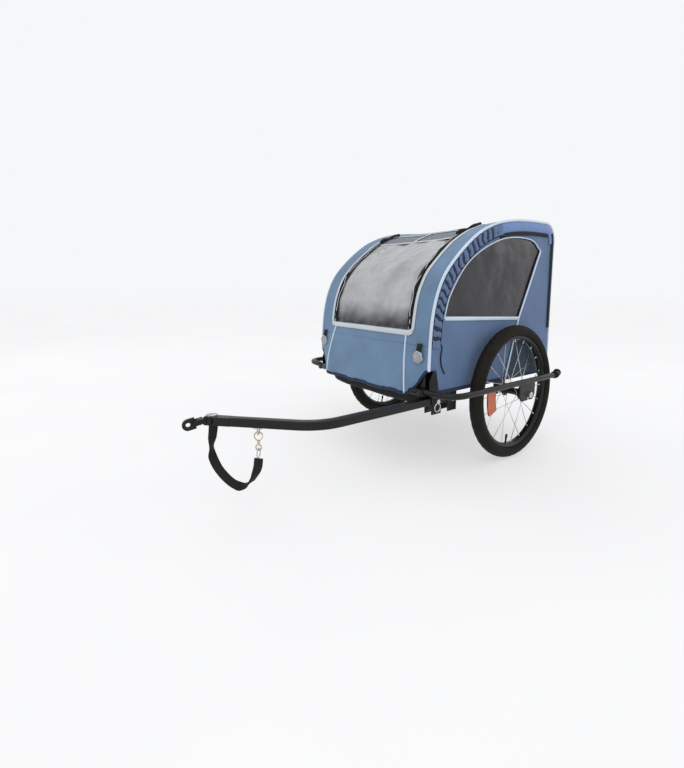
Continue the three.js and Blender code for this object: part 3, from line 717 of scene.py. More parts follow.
def make_rim(side, hub):
    inner, outer, half = 0.197, 0.2102, 0.014
    profile = mirrored([
        (inner, 0.007), (inner + 0.001, 0.009), (inner + 0.006, half), (outer - 0.001, half + 0.0006),
        (outer, half)])
    rim = turned(f"{side}_rim_smooth", profile, hub, X_AXIS, RIM_PAINT, f"{side}_wheel", 120)
    finish(soften(rim, 0.0008), "rim_black", f"{side}_rim")


def make_hub(side, hub):
    flange = [
        (0.0063, 0.038), (0.0105, 0.038), (0.011, 0.0375), (0.011, 0.033), (0.0235, 0.033), (0.024, 0.0325),
        (0.024, 0.0305), (0.0235, 0.03), (0.016, 0.0295), (0.0135, 0.026)]
    profile = mirrored(flange)
    profile.insert(len(flange), (0.0125, 0.0))
    shell = turned(f"{side}_hub_shell", profile, hub, X_AXIS, RIM_PAINT, f"{side}_wheel", 48)
    finish(shell, "spoke_steel", f"{side}_hub_and_spokes")


def wheel_point(hub, x, r, angle):
    """A point at `angle` round the wheel, counted from behind the axle upwards."""
    return hub + Vector((x, r * math.cos(angle), r * math.sin(angle)))


def make_spokes(side, hub):
    """Crossed spokes with elbows at the flange and steel nipples at the rim."""
    flange_x, flange_r, rim_r, lacing = 0.031, 0.021, 0.1965, 1.15
    for i in range(SPOKE_COUNT):
        angle = math.tau * i / SPOKE_COUNT
        x = flange_x if i % 2 else -flange_x
        lean = lacing if (i // 2) % 2 else -lacing
        start = wheel_point(hub, x, flange_r, angle + lean)
        end = wheel_point(hub, 0, rim_r, angle)
        elbow = start - Vector((math.copysign(0.0035, x), 0, 0))
        outside = start + Vector((math.copysign(0.0012, x), 0, 0))
        line = [elbow, outside, start.lerp(end, 0.03) + Vector((math.copysign(0.0012, x), 0, 0)), end]
        spoke = tube(f"{side}_spoke_{i:02d}", line, 0.001, SPOKE_STEEL, f"{side}_wheel", 8)
        finish(spoke, "spoke_steel")
        inward = (start - end).normalized()
        nipple = turned(f"{side}_nipple_{i:02d}", [
            (0, -0.0008), (0.0026, -0.0008), (0.0026, 0.002), (0.0019, 0.0035), (0.0019, 0.011),
            (0.0012, 0.0125), (0, 0.0125)], end, inward, SPOKE_STEEL, f"{side}_wheel", 10)
        finish(nipple, "spoke_steel")


def make_valve(side, hub):
    angle = math.radians(-100)
    base = wheel_point(hub, 0, 0.199, angle)
    inward = (hub - base).normalized()
    valve = turned(f"{side}_valve", [
        (0, 0), (0.0045, 0), (0.0045, 0.002), (0.0033, 0.0025), (0.0033, 0.02), (0.0042, 0.021),
        (0.0042, 0.033), (0.0036, 0.0345), (0, 0.0345)], base, inward, PLASTIC, f"{side}_wheel", 16)
    finish(valve, "tyre_rubber")


def make_spoke_reflector(side, sign, hub):
    """A sector of a ring between the spokes, with rounded edges."""
    angle = math.pi + 0.1
    inner, outer, half = 0.139, 0.183, 0.25
    near, far = 0.0133, 0.0178
    rows, columns = 14, 6

    def face(x):
        return [wheel_point(hub, sign * x, inner + (outer - inner) * j / columns,
                            angle - half + 2 * half * i / rows)
                for i in range(rows + 1) for j in range(columns + 1)]

    vertices = face(near) + face(far)
    offset = (rows + 1) * (columns + 1)
    faces = []
    for i in range(rows):
        for j in range(columns):
            a = i * (columns + 1) + j
            cell = (a, a + 1, a + columns + 2, a + columns + 1)
            faces.append(tuple(reversed(cell)))
            faces.append(tuple(v + offset for v in cell))
    edge = (list(range(columns + 1))
            + [i * (columns + 1) + columns for i in range(1, rows + 1)]
            + [rows * (columns + 1) + j for j in range(columns - 1, -1, -1)]
            + [i * (columns + 1) for i in range(rows - 1, 0, -1)])
    for a, b in zip(edge, edge[1:] + edge[:1]):
        faces.append((a, a + offset, b + offset, b))
    piece = mesh_object(f"{side}_orange_reflector", vertices, faces, ORANGE_PRISM, f"{side}_wheel", False)
    finish(soften(piece, 0.0012, 3), "reflector_orange", f"{side}_spoke_reflector")


def make_wheels():
    for side, sign in SIDES:
        hub = centre(f"{side}_tyre")
        make_tyre(side, hub)
        make_rim(side, hub)
        make_hub(side, hub)
        make_spokes(side, hub)
        make_valve(side, hub)
        make_spoke_reflector(side, sign, hub)


make_wheels()


# ---- cabin skin
FRONT_ARCH = [
    (-425, 284), (-429, 400), (-417, 548), (-380, 655), (-316, 732),
    (-210, 815), (-112, 861), (0, 888), (130, 900), (250, 903)]
REAR_CORNER = ((328, 906), (330, 820))
REAR_FOOT = (324, 284)
CABIN_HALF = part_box("left_side_panel")[1].x
COVER_HALF = CABIN_HALF - 0.0045
FOLD_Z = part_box("front_apron")[1].z
WINDOW = {"half": 203, "z": 490, "split": -200, "end": -85, "band": 227, "corner": 20}
ROOF_END = 252
FOOT_Z = 284
SIDE_FOOT_Z = 364


def cabin_profile():
    """The cabin's outline from its front foot over the roof to its rear foot."""
    arch = catmull([place(y, z) for y, z in FRONT_ARCH], 8)
    corner = bezier(arch[-1], *(place(y, z) for y, z in REAR_CORNER), 14)
    return resample([*arch, *corner[1:], place(*REAR_FOOT)], 600)


PROFILE = cabin_profile()
PROFILE_STEP = length_of(PROFILE) / (len(PROFILE) - 1)


def profile_at(run):
    """The outline's point and outward direction, `run` metres from the front foot."""
    at = min(max(run / PROFILE_STEP, 0.0), len(PROFILE) - 1.001)
    i = int(at)
    point = PROFILE[i].lerp(PROFILE[i + 1], at - i)
    along = (PROFILE[min(i + 3, len(PROFILE) - 1)] - PROFILE[max(i - 2, 0)]).normalized()
    return point, Vector((0, -along.z, along.y))


def run_up_to(z):
    return next(i for i, point in enumerate(PROFILE) if point.z >= z * MM) * PROFILE_STEP


def run_back_to(y):
    reach = AXLE.y + y * MM
    return next(i for i, p in enumerate(PROFILE) if p.y >= reach and p.z > 0.7) * PROFILE_STEP


def run_down_to(z):
    last = max(i for i, point in enumerate(PROFILE) if point.z >= z * MM)
    return last * PROFILE_STEP


def smoothstep(low, high, value):
    t = min(max((value - low) / (high - low), 0.0), 1.0)
    return t * t * (3 - 2 * t)


def ripple(x, y, z, size, height, seed=0.0):
    return noise.noise(Vector((x / size + seed, y / size, z / size))) * height


def cover_lift(x, point):
    """How far the front and roof cloth stands off the outline: a bow at the foot, a sag on the roof."""
    bow = 0.036 * max(0.0, (0.49 - point.z) / 0.192) ** 1.1 * (1 - smoothstep(0.2, 0.299, abs(x)))
    sag = 0.012 * (1 - (x / COVER_HALF) ** 2) * smoothstep(0.7, 0.85, point.z)
    edge = 1 - smoothstep(0.26, 0.298, abs(x))
    creases = ripple(x, point.y, point.z, 0.16, 0.0035) + ripple(x, point.y, point.z, 0.05, 0.0012, 7)
    return bow - sag + creases * edge


def cover_point(x, run, lift=0.0):
    """A point on the front, roof and rear cloth, x metres to the side."""
    point, outward = profile_at(run)
    return Vector((x, 0, 0)) + point + outward * (cover_lift(x, point) + lift)


def baked(piece):
    """Applies the piece's modifiers to its mesh."""
    depsgraph = bpy.context.evaluated_depsgraph_get()
    final = bpy.data.meshes.new_from_object(piece.evaluated_get(depsgraph))
    piece.modifiers.clear()
    piece.data = final
    return piece


def settles(piece):
    """Applies the piece's modifiers and gives it a mesh of its own."""
    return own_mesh(baked(piece))


def swings(piece):
    """Applies the piece's modifiers and bakes its placement into its mesh."""
    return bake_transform(baked(piece))


# ---- front, roof and rear cloth
def window_cell(x, run):
    """Whether a place on the cover is inside the window and roof opening."""
    inside = run_up_to(WINDOW["z"]) < run < run_back_to(WINDOW["end"])
    return inside and abs(x) < WINDOW["half"] * MM


def cover_sheet(name, start, end, rows, material, lift=0.0, half=COVER_HALF, columns=104, opening=False):
    """Cover cloth from run `start` to `end`; start may depend on x."""
    def to_x(v):
        return (2 * v - 1) * half

    def to_run(u, v):
        first = start(to_x(v)) if callable(start) else start
        return first + (end - first) * u

    keep = (lambda u, v: not window_cell(to_x(v), to_run(u, v))) if opening else None
    return grid(name, rows, columns, lambda u, v: cover_point(to_x(v), to_run(u, v), lift),
                material, "chassis", keep, CLOTH)


def hem_run(x):
    """The front panel's lower edge, cut upwards towards both sides."""
    waver = ripple(x, 0, 0, 0.13, 0.009, 61) / MM
    z = FOOT_Z + 1 + 82 * smoothstep(0.225, 0.305, abs(x)) + waver
    return run_up_to(max(z, FOOT_Z))


def make_front_and_roof():
    fold = run_up_to(FOLD_Z / MM)
    lap = 0.003
    panel = cover_sheet("front_panel", hem_run, fold + lap, 34, FRONT_BLUE)
    finish(panel, "blue_fabric", "front_apron")
    cover = cover_sheet("cover_front_and_roof", fold - lap, run_back_to(ROOF_END), 190, FRONT_BLUE,
                        0.0003, opening=True)
    finish(settles(cover), "blue_fabric", "front_cover")
    rear_top = cover_sheet("rear_panel_upper", run_back_to(ROOF_END), run_down_to(FOLD_Z / MM), 90, BLUE)
    finish(settles(rear_top), "blue_fabric", "rear_panel")
    rear_foot = cover_sheet("rear_panel_lower", run_down_to(FOLD_Z / MM), run_down_to(FOOT_Z + 1), 24, BLUE)
    finish(rear_foot, "blue_fabric", "rear_panel")


def film_point(x, run):
    """The front film hangs between its zips: tension creases run down and across it."""
    point, outward = profile_at(run)
    half = WINDOW["half"] * MM
    fade = 1 - smoothstep(half - 0.03, half, abs(x))
    folds = (ripple(x, 0, run * 0.5, 0.07, 0.006, 3) + ripple(x, 0, run, 0.03, 0.0018, 5)) * fade
    return Vector((x, 0, 0)) + point + outward * (cover_lift(x, point) - 0.0015 + folds)


def make_window_and_mesh():
    half = WINDOW["half"] * MM + 0.006
    low, split = run_up_to(WINDOW["z"]) - 0.004, run_back_to(WINDOW["split"])
    end = run_back_to(WINDOW["end"]) + 0.004

    def film_at(u, v):
        return film_point((2 * v - 1) * half, low + (split - low) * u)

    film = grid("front_window_film", 120, 90, film_at, FRONT_FILM, "chassis", None, FILM)
    finish(settles(film), "smoked_vinyl", "front_window")
    net = cover_sheet("roof_net", split, end, 50, ROOF_MESH, -0.0015, half, 60)
    finish(settles(net), "black_mesh", "roof_mesh")


def cover_band(name, path, half_width, material, lift=0.0015, half_thickness=0.001):
    """A ribbon along (x, run) places on the cover."""
    points = [cover_point(x, run, lift) for x, run in path]
    normals = [profile_at(run)[1] for x, run in path]
    return band(name, points, normals, half_width, half_thickness, material, "chassis")


def roof_band(name, path, half_width, material, slot="black_fabric", lift=0.0015, half_thickness=0.001):
    """A ribbon on the roof part of the cover, with its modifiers applied and a mesh of its own."""
    return finish(settles(cover_band(name, path, half_width, material, lift, half_thickness)), slot)


def window_frame_path():
    """Down one side of the window, round the corners of its sill and up the other side, as (x, run)."""
    edge, corner = WINDOW["band"] * MM, WINDOW["corner"] * MM
    sill = run_up_to(WINDOW["z"]) - 0.008
    top = run_back_to(WINDOW["end"]) + 0.03
    side = [(edge, run) for run in spread(top, sill + corner, 60)]
    arc = [(edge - corner + corner * math.cos(a), sill + corner - corner * math.sin(a))
           for a in spread(0, math.pi / 2, 10)[1:]]
    base = [(x, sill) for x in spread(edge - corner, corner - edge, 40)[1:-1]]
    half_path = side + arc
    return half_path + base + [(-x, run) for x, run in reversed(half_path)]


def make_window_trim():
    path = window_frame_path()
    roof_band("window_band", path, 0.0065, SILVER_BAND, "blue_fabric", 0.003)
    sill = [(x, run - 0.001) for x, run in path if run < run_up_to(WINDOW["z"]) + 0.0005]
    roof_band("window_sill", sill, 0.0095, SILVER_BAND, "blue_fabric", 0.005, 0.0022)
    runs = spread(run_up_to(WINDOW["z"]), run_back_to(WINDOW["end"]), 90)
    for side, sign in SIDES:
        def zip_line(offset, wave, seed):
            return [(sign * (offset + ripple(i / 90, 0, 0, 0.11, wave, seed)), run)
                    for i, run in enumerate(runs)]

        roof_band(f"{side}_zip_tape", zip_line(0.2105, 0.005, 20), 0.0125, BLACK_CLOTH, lift=0.0022)
        roof_band(f"{side}_zip_edge", zip_line(0.2065, 0.011, 31), 0.0016, SILVER_BAND, lift=0.0048)
        roof_band(f"{side}_zip_teeth", zip_line(0.2135, 0.007, 42), 0.0028, PLASTIC, lift=0.0046,
                  half_thickness=0.0013)


def make_roof_trim():
    split, end = run_back_to(WINDOW["split"]), run_back_to(WINDOW["end"])
    seam = [(x, split) for x in spread(-0.19, 0.19, 40)]
    roof_band("mesh_seam", seam, 0.005, SILVER_BAND, lift=0.002)
    strap = [(0.004, run) for run in spread(split, end, 20)]
    roof_band("mesh_strap", strap, 0.006, SILVER_BAND, lift=0.003)
    rear_seam = [(x, end) for x in spread(-0.21, 0.21, 40)]
    roof_band("mesh_rear_seam", rear_seam, 0.007, SILVER_BAND, lift=0.002)
    for side, sign in SIDES:
        line = [cover_point(sign * (0.205 + 0.012 * t), end - 0.105 + 0.13 * t,
                            0.006 + ripple(t, 0, 0, 0.3, 0.006, 50)) for t in spread(0, 1, 30)]
        roll = sweep(f"{side}_rolled_flap", line, circle(0.0075, 16, 0.8), BLACK_CLOTH, "chassis")
        finish(settles(roll), "black_fabric")


def make_front_trim():
    """Piping down the front panel and round its hem."""
    fold = run_up_to(FOLD_Z / MM)
    top = run_up_to(WINDOW["z"] - 6)
    foot = hem_run(0.22)

    def piping_x(run):
        return 0.225 - 0.027 * (run - foot) / (top - foot)

    for side, sign in SIDES:
        for name, runs in (("lower", spread(foot, fold, 24)), ("upper", spread(fold, top, 8))):
            line = [cover_point(sign * piping_x(run), run, CLOTH) for run in runs]
            piece = tube(f"{side}_front_piping_{name}", line, 0.003, PIPING, "chassis", 12)
            finish(settles(piece) if name == "upper" else piece, "blue_fabric")
    hem = [(x, hem_run(x)) for x in spread(-0.297, 0.297, 90)]
    finish(cover_band("front_hem", hem, 0.006, NAVY, 0.0003, 0.0018), "blue_fabric")


make_front_and_roof()
make_window_and_mesh()
make_window_trim()
make_roof_trim()
make_front_trim()


# ---- side cloth
SIDE_WINDOW = [(221, 785), (140, 824), (-46, 812), (-226, 733), (-326, 622), (-360, 535)]
WINDOW_FOOT = [(-360, 535), (82, 519)]
SIDE_CUT = [(-409, 368), (-380, 284)]
SLANT_FOOT = (6, 286)
WINDOW_CENTRE = place(-40, 665)
STRIP = {"start": 440, "end": -60, "inner": 9, "outer": 47, "gathers": 19}


def inset_line(start, end, inset, count):
    """Places in the side's plane, `inset` metres inside the outline, between two runs."""
    return [point - outward * inset for point, outward in map(profile_at, spread(start, end, count))]


def side_outline():
    start, end = run_up_to(SIDE_FOOT_Z), run_down_to(FOOT_Z)
    arch = inset_line(start, end, 0.001, 160)
    return [*arch, *(place(y, z) for y, z in reversed(SIDE_CUT))]


def window_foot(count):
    return [place(*WINDOW_FOOT[0]).lerp(place(*WINDOW_FOOT[1]), i / count) for i in range(count + 1)]


def window_outline(grow=0.0):
    line = catmull([place(y, z) for y, z in SIDE_WINDOW], 10)
    line += window_foot(12)[1:]
    return [point + (point - WINDOW_CENTRE).normalized() * grow for point in line]


def angle_of(point):
    return math.atan2(point.z - WINDOW_CENTRE.z, point.y - WINDOW_CENTRE.y)


def reach_of(loop, angle):
    """How far a closed loop is from the window's centre, in one direction."""
    dy, dz = math.cos(angle), math.sin(angle)
    best = 0.0
    for a, b in zip(loop, loop[1:] + loop[:1]):
        ay, az = a.y - WINDOW_CENTRE.y, a.z - WINDOW_CENTRE.z
        ey, ez = b.y - a.y, b.z - a.z
        cross = dy * ez - dz * ey
        if abs(cross) < 1e-12:
            continue
        distance = (ay * ez - az * ey) / cross
        share = (ay * dz - az * dy) / cross
        if distance > 0 and -1e-6 <= share <= 1 + 1e-6:
            best = max(best, distance)
    return best


def side_wrinkle(y, z):
    low = 1 - smoothstep(0.30, 0.34, z)
    return (ripple(0, y, z, 0.2, 0.004, 2) + ripple(0, y, z, 0.055, 0.001, 4)) * (1 - 0.7 * low)


def ring_mesh(name, sign, inner, outer, rows, x, material, wrinkle):
    """Cloth in the side's plane between two sets of points, one ring of cells inside another."""
    vertices = []
    for i in range(rows + 1):
        for a, b in zip(inner, outer):
            point = a.lerp(b, i / rows)
            vertices.append(Vector((sign * (x + wrinkle(point.y, point.z, i / rows)), point.y, point.z)))
    return mesh_object(name, vertices, ring_faces(rows + 1, len(inner)), material)


def make_side_panels():
    outer_loop, window = side_outline(), window_outline()
    corners = [place(*p) for p in (*SIDE_CUT, *WINDOW_FOOT, REAR_FOOT, SIDE_WINDOW[0])]
    angles = sorted([math.tau * i / 220 - math.pi for i in range(220)] + [angle_of(p) for p in corners])

    def loop_points(loop):
        return [WINDOW_CENTRE + Vector((0, math.cos(a), math.sin(a))) * reach_of(loop, a) for a in angles]

    inner, outer = loop_points(window), loop_points(outer_loop)
    middle = [WINDOW_CENTRE.copy() for _ in angles]
    for side, sign in SIDES:
        def soft(y, z, share):
            return side_wrinkle(y, z) * math.sin(math.pi * min(1.0, share)) ** 0.5

        panel = ring_mesh(f"{side}_side_cloth", sign, inner, outer, 20, CABIN_HALF - 0.0018, BLUE, soft)
        solidify(panel, CLOTH)
        finish(swings(panel), "blue_fabric", f"{side}_side_panel")
        grown = [p + (p - WINDOW_CENTRE).normalized() * 0.004 for p in inner]

        def taut(y, z, share):
            folds = ripple(0, y, z * 0.6, 0.09, 0.005, 8) + ripple(0, y, z, 0.03, 0.0012, 9)
            return folds * (1 - share) ** 0.4

        film = ring_mesh(f"{side}_side_film", sign, middle, grown, 24, CABIN_HALF - 0.0035, SIDE_FILM, taut)
        solidify(film, FILM)
        finish(swings(film), "smoked_vinyl", f"{side}_side_window")


def on_side(line, sign, lift):
    return [Vector((sign * (CABIN_HALF + lift), p.y, p.z)) for p in line]


def side_bands(name, line, half_width, material, slot, lift=0.0012, half_thickness=0.0011):
    """The same ribbon on both sides."""
    for side, sign in SIDES:
        points, normals = on_side(line, sign, lift), [X_AXIS * sign] * len(line)
        piece = band(f"{side}_{name}", points, normals, half_width, half_thickness, material)
        finish(swings(piece), slot)


def side_pipings(name, line, radius, material, slot, lift=0.001):
    """The same piping on both sides."""
    for side, sign in SIDES:
        piece = tube(f"{side}_{name}", on_side(line, sign, lift), radius, material, None, 12)
        finish(swings(piece), slot)


def make_gathered_strip(side, sign):
    """Elastic edge: blue cloth drawn into slanted gathers over a dark strip; the strip is painted shade that
    shows in the grooves between gathers.
    """
    start, end = run_up_to(STRIP["start"]), run_back_to(STRIP["end"])
    low, high = STRIP["inner"] * MM, STRIP["outer"] * MM

    def at(u, v, lift):
        point, outward = profile_at(start + (end - start) * u)
        place_on = point - outward * (low + (high - low) * v)
        return Vector((sign * (CABIN_HALF + lift), place_on.y, place_on.z))

    def gather(u, v):
        phase = STRIP["gathers"] * (u + 0.014 * (v - 0.5)) + ripple(u, v * 0.2, 0, 0.12, 0.32, 14)
        height = 0.5 - 0.5 * math.cos(math.tau * phase)
        ends = smoothstep(0, 0.03, u) * (1 - smoothstep(0.9, 1.0, u))
        depth = 0.0064 * ends * (0.9 + ripple(u, v, 0, 0.06, 0.35, 15))
        return 0.0046 - depth * (1 - height) * (0.6 + 0.4 * math.sin(math.pi * v))

    cloth = grid(f"{side}_gathered_edge", 380, 10, lambda u, v: at(u, v, gather(u, v)), BLUE)
    finish(swings(solidify(cloth, FILM)), "blue_fabric")
    # The navy strip under the gathers is painted shade: it shows where the blue cloth dips and darkens the
    # grooves.
    ground = grid(f"{side}_gather_painted_shade", 120, 4, lambda u, v: at(u, v, 0.0016), NAVY)
    finish(swings(solidify(ground, FILM)), "blue_fabric")


def make_side_trim():
    strip_end, rear = run_back_to(STRIP["end"]), run_down_to(820)
    arch = inset_line(run_up_to(SIDE_FOOT_Z), rear, 0.003, 150)
    side_pipings("arch_piping", arch, 0.0052, PIPING, "blue_fabric", -0.0015)
    back_edge = inset_line(rear, run_down_to(300), 0.003, 60)
    side_pipings("rear_piping", back_edge, 0.004, PIPING, "blue_fabric", -0.0015)
    for side, sign in SIDES:
        make_gathered_strip(side, sign)
    # A flat band of cloth along the roof edge; its lighter blue is a painted sheen where light catches the
    # edge.
    flat = inset_line(strip_end - 0.03, run_down_to(815), 0.027, 60)
    side_bands("roof_edge_painted_sheen", flat, 0.018, SHEEN_BLUE, "blue_fabric", 0.0016, 0.0014)
    # A thin black line along the inner edge of the gathers and down the front foot: painted shadow in the
    # gap between the gathered edge and the side panel.
    seam = inset_line(run_up_to(455), strip_end, 0.049, 80)
    tail = catmull([place(y, z) for y, z in ((-368, 440), (-374, 410), (-370, 380), (-352, 350))], 6)
    side_pipings("gather_gap_shadow", [*reversed(tail), *seam], 0.0021, BLACK_CLOTH, "black_fabric", 0.002)
    over = inset_line(strip_end - 0.02, run_back_to(296), 0.052, 40)
    side_bands("window_top_binding", over, 0.0075, BLACK_CLOTH, "black_fabric", 0.003)
    # A black band just inside the rear edge: painted shadow in the gap between the side panel and the rear
    # cloth.
    down = inset_line(run_down_to(868), run_down_to(470), 0.017, 50)
    side_bands("rear_gap_shadow", down, 0.008, BLACK_CLOTH, "black_fabric", 0.003)
    hem = resample([place(y, 290) for y in (-376, -200, 0, 160, 322)], 60)
    side_bands("side_hem", hem, 0.0065, NAVY, "blue_fabric", 0.0003, 0.0018)


def make_window_piping():
    arch = window_outline(0.003)[:51]
    side_pipings("window_piping", arch, 0.0024, PIPING, "blue_fabric", 0.0015)
    side_bands("window_sill", window_foot(30), 0.007, PIPING, "blue_fabric", 0.002, 0.0018)
    slant = resample([place(*p) for p in (SIDE_WINDOW[0], WINDOW_FOOT[1], SLANT_FOOT)], 80)
    side_bands("slant_seam", slant, 0.0048, PIPING, "blue_fabric", 0.0026, 0.0016)


def make_wheel_pockets():
    """A quarter-round patch of front-panel cloth behind each wheel, with a fine light edge."""
    arc = catmull([place(y, z) for y, z in ((60, 438), (125, 428), (190, 382), (232, 332), (246, 286))], 10)
    foot, top = place(8, 286), place(60, 438)
    count = len(arc) - 1
    for side, sign in SIDES:
        def point(u, v):
            flat = foot.lerp(top, 0.0 if v < 0 else 1 - v).lerp(arc[min(int(round(v * count)), count)], u)
            bulge = 0.0015 + 0.003 * math.sin(math.pi * u) * math.sin(math.pi * v)
            bulge += ripple(0, flat.y, flat.z, 0.05, 0.001, 17)
            return Vector((sign * (CABIN_HALF + bulge), flat.y, flat.z))

        patch = grid(f"{side}_wheel_pocket", 16, count, point, TEAL)
        finish(swings(solidify(patch, 0.001)), "blue_fabric")
    side_pipings("pocket_edge", arc, 0.0016, PIPING, "blue_fabric", 0.002)


make_side_panels()
make_side_trim()
make_window_piping()
make_wheel_pockets()


# ---- front reflectors
def make_front_reflectors():
    """Hexagonal reflector with a raised rim, on a dark tab sewn to the front panel."""
    for side, _ in SIDES:
        name = f"{side}_front_reflector"
        low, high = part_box(name)
        middle, radius = (low + high) / 2, (high.z - low.z) / 2
        facing = -Y_AXIS
        rim = turned(f"{name}_rim", [
            (0, -0.002), (radius, -0.002), (radius, 0.002), (radius * 0.86, 0.0038), (radius * 0.8, 0.0022),
            (0, 0.0022)], middle, facing, SILVER_PLASTIC, "chassis", 6)
        finish(soften(rim, 0.0008), "reflector_clear", name)
        lens = turned(f"{name}_lens", [
            (0, 0.0024), (radius * 0.8, 0.0024), (radius * 0.76, 0.0034), (0, 0.0042)],
            middle, facing, CLEAR_PRISM, "chassis", 6)
        finish(lens, "reflector_clear")
        tab_line = [middle + Vector((0, y, z)) for y, z in (
            (0.0012, 0.012), (0.0042, radius + 0.004), (0.0092, radius + 0.022))]
        tab = band(f"{name}_tab", resample(tab_line, 12), [Vector((0, -1, 0.25)).normalized()] * 12,
                   0.011, 0.001, BLACK_CLOTH, "chassis")
        finish(tab, "black_fabric")


# ---- floor, seat and harness
FOOTWELL_LOW, FOOTWELL_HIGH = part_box("footwell")


def make_footwell():
    """A slack cloth tub that hangs from the frame: its floor sags and its corners are rounded."""
    low, high = FOOTWELL_LOW, FOOTWELL_HIGH
    middle = (low + high) / 2
    half_x, half_y = (high.x - low.x) / 2, (high.y - low.y) / 2
    rows, around = 30, 96

    def point(u, v):
        angle = math.tau * v
        depth = min(u / 0.62, 1.0)
        spread = 1 - max(0.0, (u - 0.62) / 0.38)
        c, s = math.cos(angle), math.sin(angle)
        power = 0.22 + 0.1 * depth
        round_x = math.copysign(abs(c) ** power, c)
        round_y = math.copysign(abs(s) ** power, s)
        inward = 1 - 0.05 * depth**3
        x = half_x * round_x * inward * spread
        y = half_y * round_y * inward * spread
        sag = 0.005 * (1 - (x / half_x) ** 2) * depth
        z = high.z - (high.z - low.z) * math.sin(depth * math.pi / 2) - sag
        crease = ripple(x, y, z, 0.09, 0.008, 70) * min(depth * 1.5, 1.0)
        return Vector((x, middle.y + y - crease * 0.6, z + crease * 0.7))

    tub = grid("footwell_cloth", rows, around, point, BLACK_CLOTH, "chassis", None, 0.002)
    finish(tub, "black_fabric", "footwell")
    low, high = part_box("floor_panel")

    def floor_point(u, v):
        x, y = low.x + (high.x - low.x) * v, low.y + (high.y - low.y) * u
        return Vector((x, y, high.z - 0.0012 - 0.0015 * math.sin(math.pi * u) * math.sin(math.pi * v)))

    floor = grid("cabin_floor_cloth", 40, 50, floor_point, BLACK_CLOTH, "chassis", None, 0.002)
    finish(floor, "black_fabric", "floor_panel")


def box_mesh(name, size, material):
    """A plain box round the origin."""
    x, y, z = size / 2
    corners = [(sx * x, sy * y, sz * z) for sx in (-1, 1) for sy in (-1, 1) for sz in (-1, 1)]
    faces = [(0, 1, 3, 2), (4, 6, 7, 5), (0, 4, 5, 1), (2, 3, 7, 6), (0, 2, 6, 4), (1, 5, 7, 3)]
    return mesh_object(name, corners, faces, material)


VOXEL = 0.006
AIR_PRESSURE = 4.0
CLOTH_FRAMES = 20


def inflate(piece, reach=0.012):
    """Fills a box of cloth with air, keeps each point within reach of its start, and freezes the result."""
    remesh = piece.modifiers.new("remesh", "REMESH")
    remesh.mode = "VOXEL"
    remesh.voxel_size = VOXEL
    baked(piece)
    start = [v.co.copy() for v in piece.data.vertices]
    cloth = piece.modifiers.new("cloth", "CLOTH")
    settings = cloth.settings
    settings.quality = 4
    settings.mass = 0.3
    settings.use_pressure = True
    settings.uniform_pressure_force = AIR_PRESSURE
    settings.effector_weights.gravity = 0
    scene = bpy.context.scene
    for frame_number in range(1, CLOTH_FRAMES + 1):
        scene.frame_set(frame_number)
    baked(piece)
    scene.frame_set(1)
    for vertex, first in zip(piece.data.vertices, start):
        moved = vertex.co - first
        if moved.length > reach:
            vertex.co = first + moved.normalized() * reach
    return piece


CHANNEL_HALF = 0.012
BACK = {"lean": 0.2, "height": 0.37, "thickness": 0.03, "y": 185, "z": 401.5}


def smooth_shaded(piece):
    piece.data.polygons.foreach_set("use_smooth", [True] * len(piece.data.polygons))
    rounding = piece.modifiers.new("rounding", "SMOOTH")
    rounding.factor = 0.8
    rounding.iterations = 6
    return baked(piece)


def sew_channel(piece, depth, axis, sign):
    """Presses a seam across the middle of the face that looks along one axis."""
    for vertex in piece.data.vertices:
        away = abs(vertex.co.x) / CHANNEL_HALF
        if vertex.co[axis] * sign > 0 and away < 1:
            vertex.co[axis] -= sign * depth * (1 - away * away) ** 2
    return piece


def make_seat():
    low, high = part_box("seat_cushion")
    size = high - low
    cushion = box_mesh("seat_pad", size - Vector((0.02, 0.02, 0.022)), SEAT_CLOTH)
    smooth_shaded(sew_channel(inflate(cushion), 0.008, 2, 1))
    cushion.data.transform(Matrix.Translation((low + high) / 2))
    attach(cushion, "chassis")
    finish(cushion, "black_fabric", "seat_cushion")
    settles(cushion)

    height, thickness = BACK["height"], BACK["thickness"]
    back = box_mesh("seat_back_pad", Vector((size.x - 0.016, thickness - 0.006, height - 0.016)), SEAT_CLOTH)
    smooth_shaded(sew_channel(inflate(back, reach=0.006), 0.006, 1, -1))
    base = place(BACK["y"], BACK["z"])
    turn = Matrix.Rotation(-BACK["lean"], 4, "X")
    shift = Matrix.Translation(Vector((0, thickness / 2, height / 2)))
    back.data.transform(Matrix.Translation(base) @ turn @ shift)
    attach(back, "chassis")
    finish(back, "black_fabric", "seat_back")
    settles(back)
    make_harnesses(base, turn)


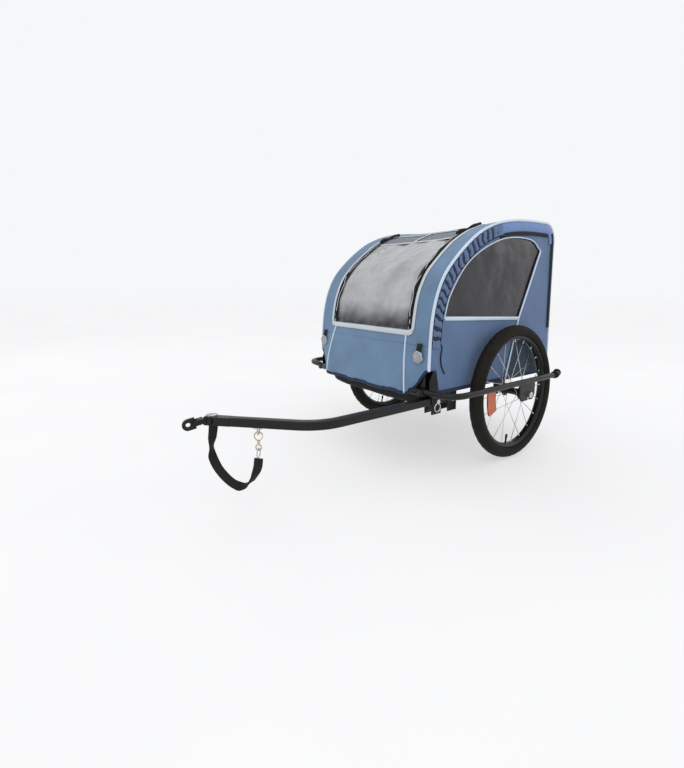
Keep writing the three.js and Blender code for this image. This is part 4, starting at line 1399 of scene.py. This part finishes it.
def make_harnesses(base, turn):
    """Two shoulder straps for each child, crossed by a waist strap with a buckle."""
    facing = turn.to_3x3() @ -Y_AXIS
    for side, sign in SIDES:
        middle = sign * 0.1175

        def at(x, z, lift=0.0035):
            return base + turn.to_3x3() @ Vector((middle + x, -lift, z))

        lines = {
            "inner_strap": [at(-0.034, 0.07), at(-0.036, 0.2, 0.006), at(-0.034, 0.335)],
            "outer_strap": [at(0.034, 0.07), at(0.036, 0.2, 0.006), at(0.034, 0.335)],
            "waist_strap": [at(-0.05, 0.072, 0.006), at(0, 0.068, 0.009), at(0.05, 0.072, 0.006)]}
        for name, points in lines.items():
            line = resample(catmull(points, 10), 30)
            strap = band(f"{side}_{name}", line, [facing] * 30, 0.011, 0.0011, WEBBING, "chassis")
            finish(strap, "webbing_black", f"{side}_harness")
            settles(strap)
        buckle = box_mesh(f"{side}_buckle", Vector((0.042, 0.008, 0.05)), PLASTIC)
        buckle.data.transform(Matrix.Translation(at(0, 0.068, 0.014)) @ turn)
        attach(buckle, "chassis")
        finish(soften(buckle, 0.0025, 3), "black_fabric")
        settles(buckle)


SILVER_PLASTIC = rubber_material("silver_plastic", (0.32, 0.33, 0.35))
SEAT_CLOTH = cloth_material("seat_cloth", (0.03, 0.028, 0.032), 0.85, contrast=0.3)
make_front_reflectors()
make_footwell()
make_seat()


def area_inside(loop):
    """Area of a closed outline in the side's plane."""
    pairs = zip(loop, loop[1:] + loop[:1])
    return abs(sum(a.y * b.z - b.y * a.z for a, b in pairs)) / 2


def span_of(loop):
    """Length and height of a closed outline in the side's plane."""
    ys, zs = [p.y for p in loop], [p.z for p in loop]
    return max(ys) - min(ys), max(zs) - min(zs)


def declare_cover_patterns():
    roof_end, rear_fold = run_back_to(ROOF_END), run_down_to(FOLD_Z / MM)
    length_of(PROFILE) - rear_fold


def declare_side_patterns():
    outline, window = side_outline(), window_outline()
    for side, _ in SIDES:
        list(span_of(outline))
        area_inside(outline) - area_inside(window)
        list(span_of(window))
        area_inside(window)


declare_cover_patterns()
declare_side_patterns()
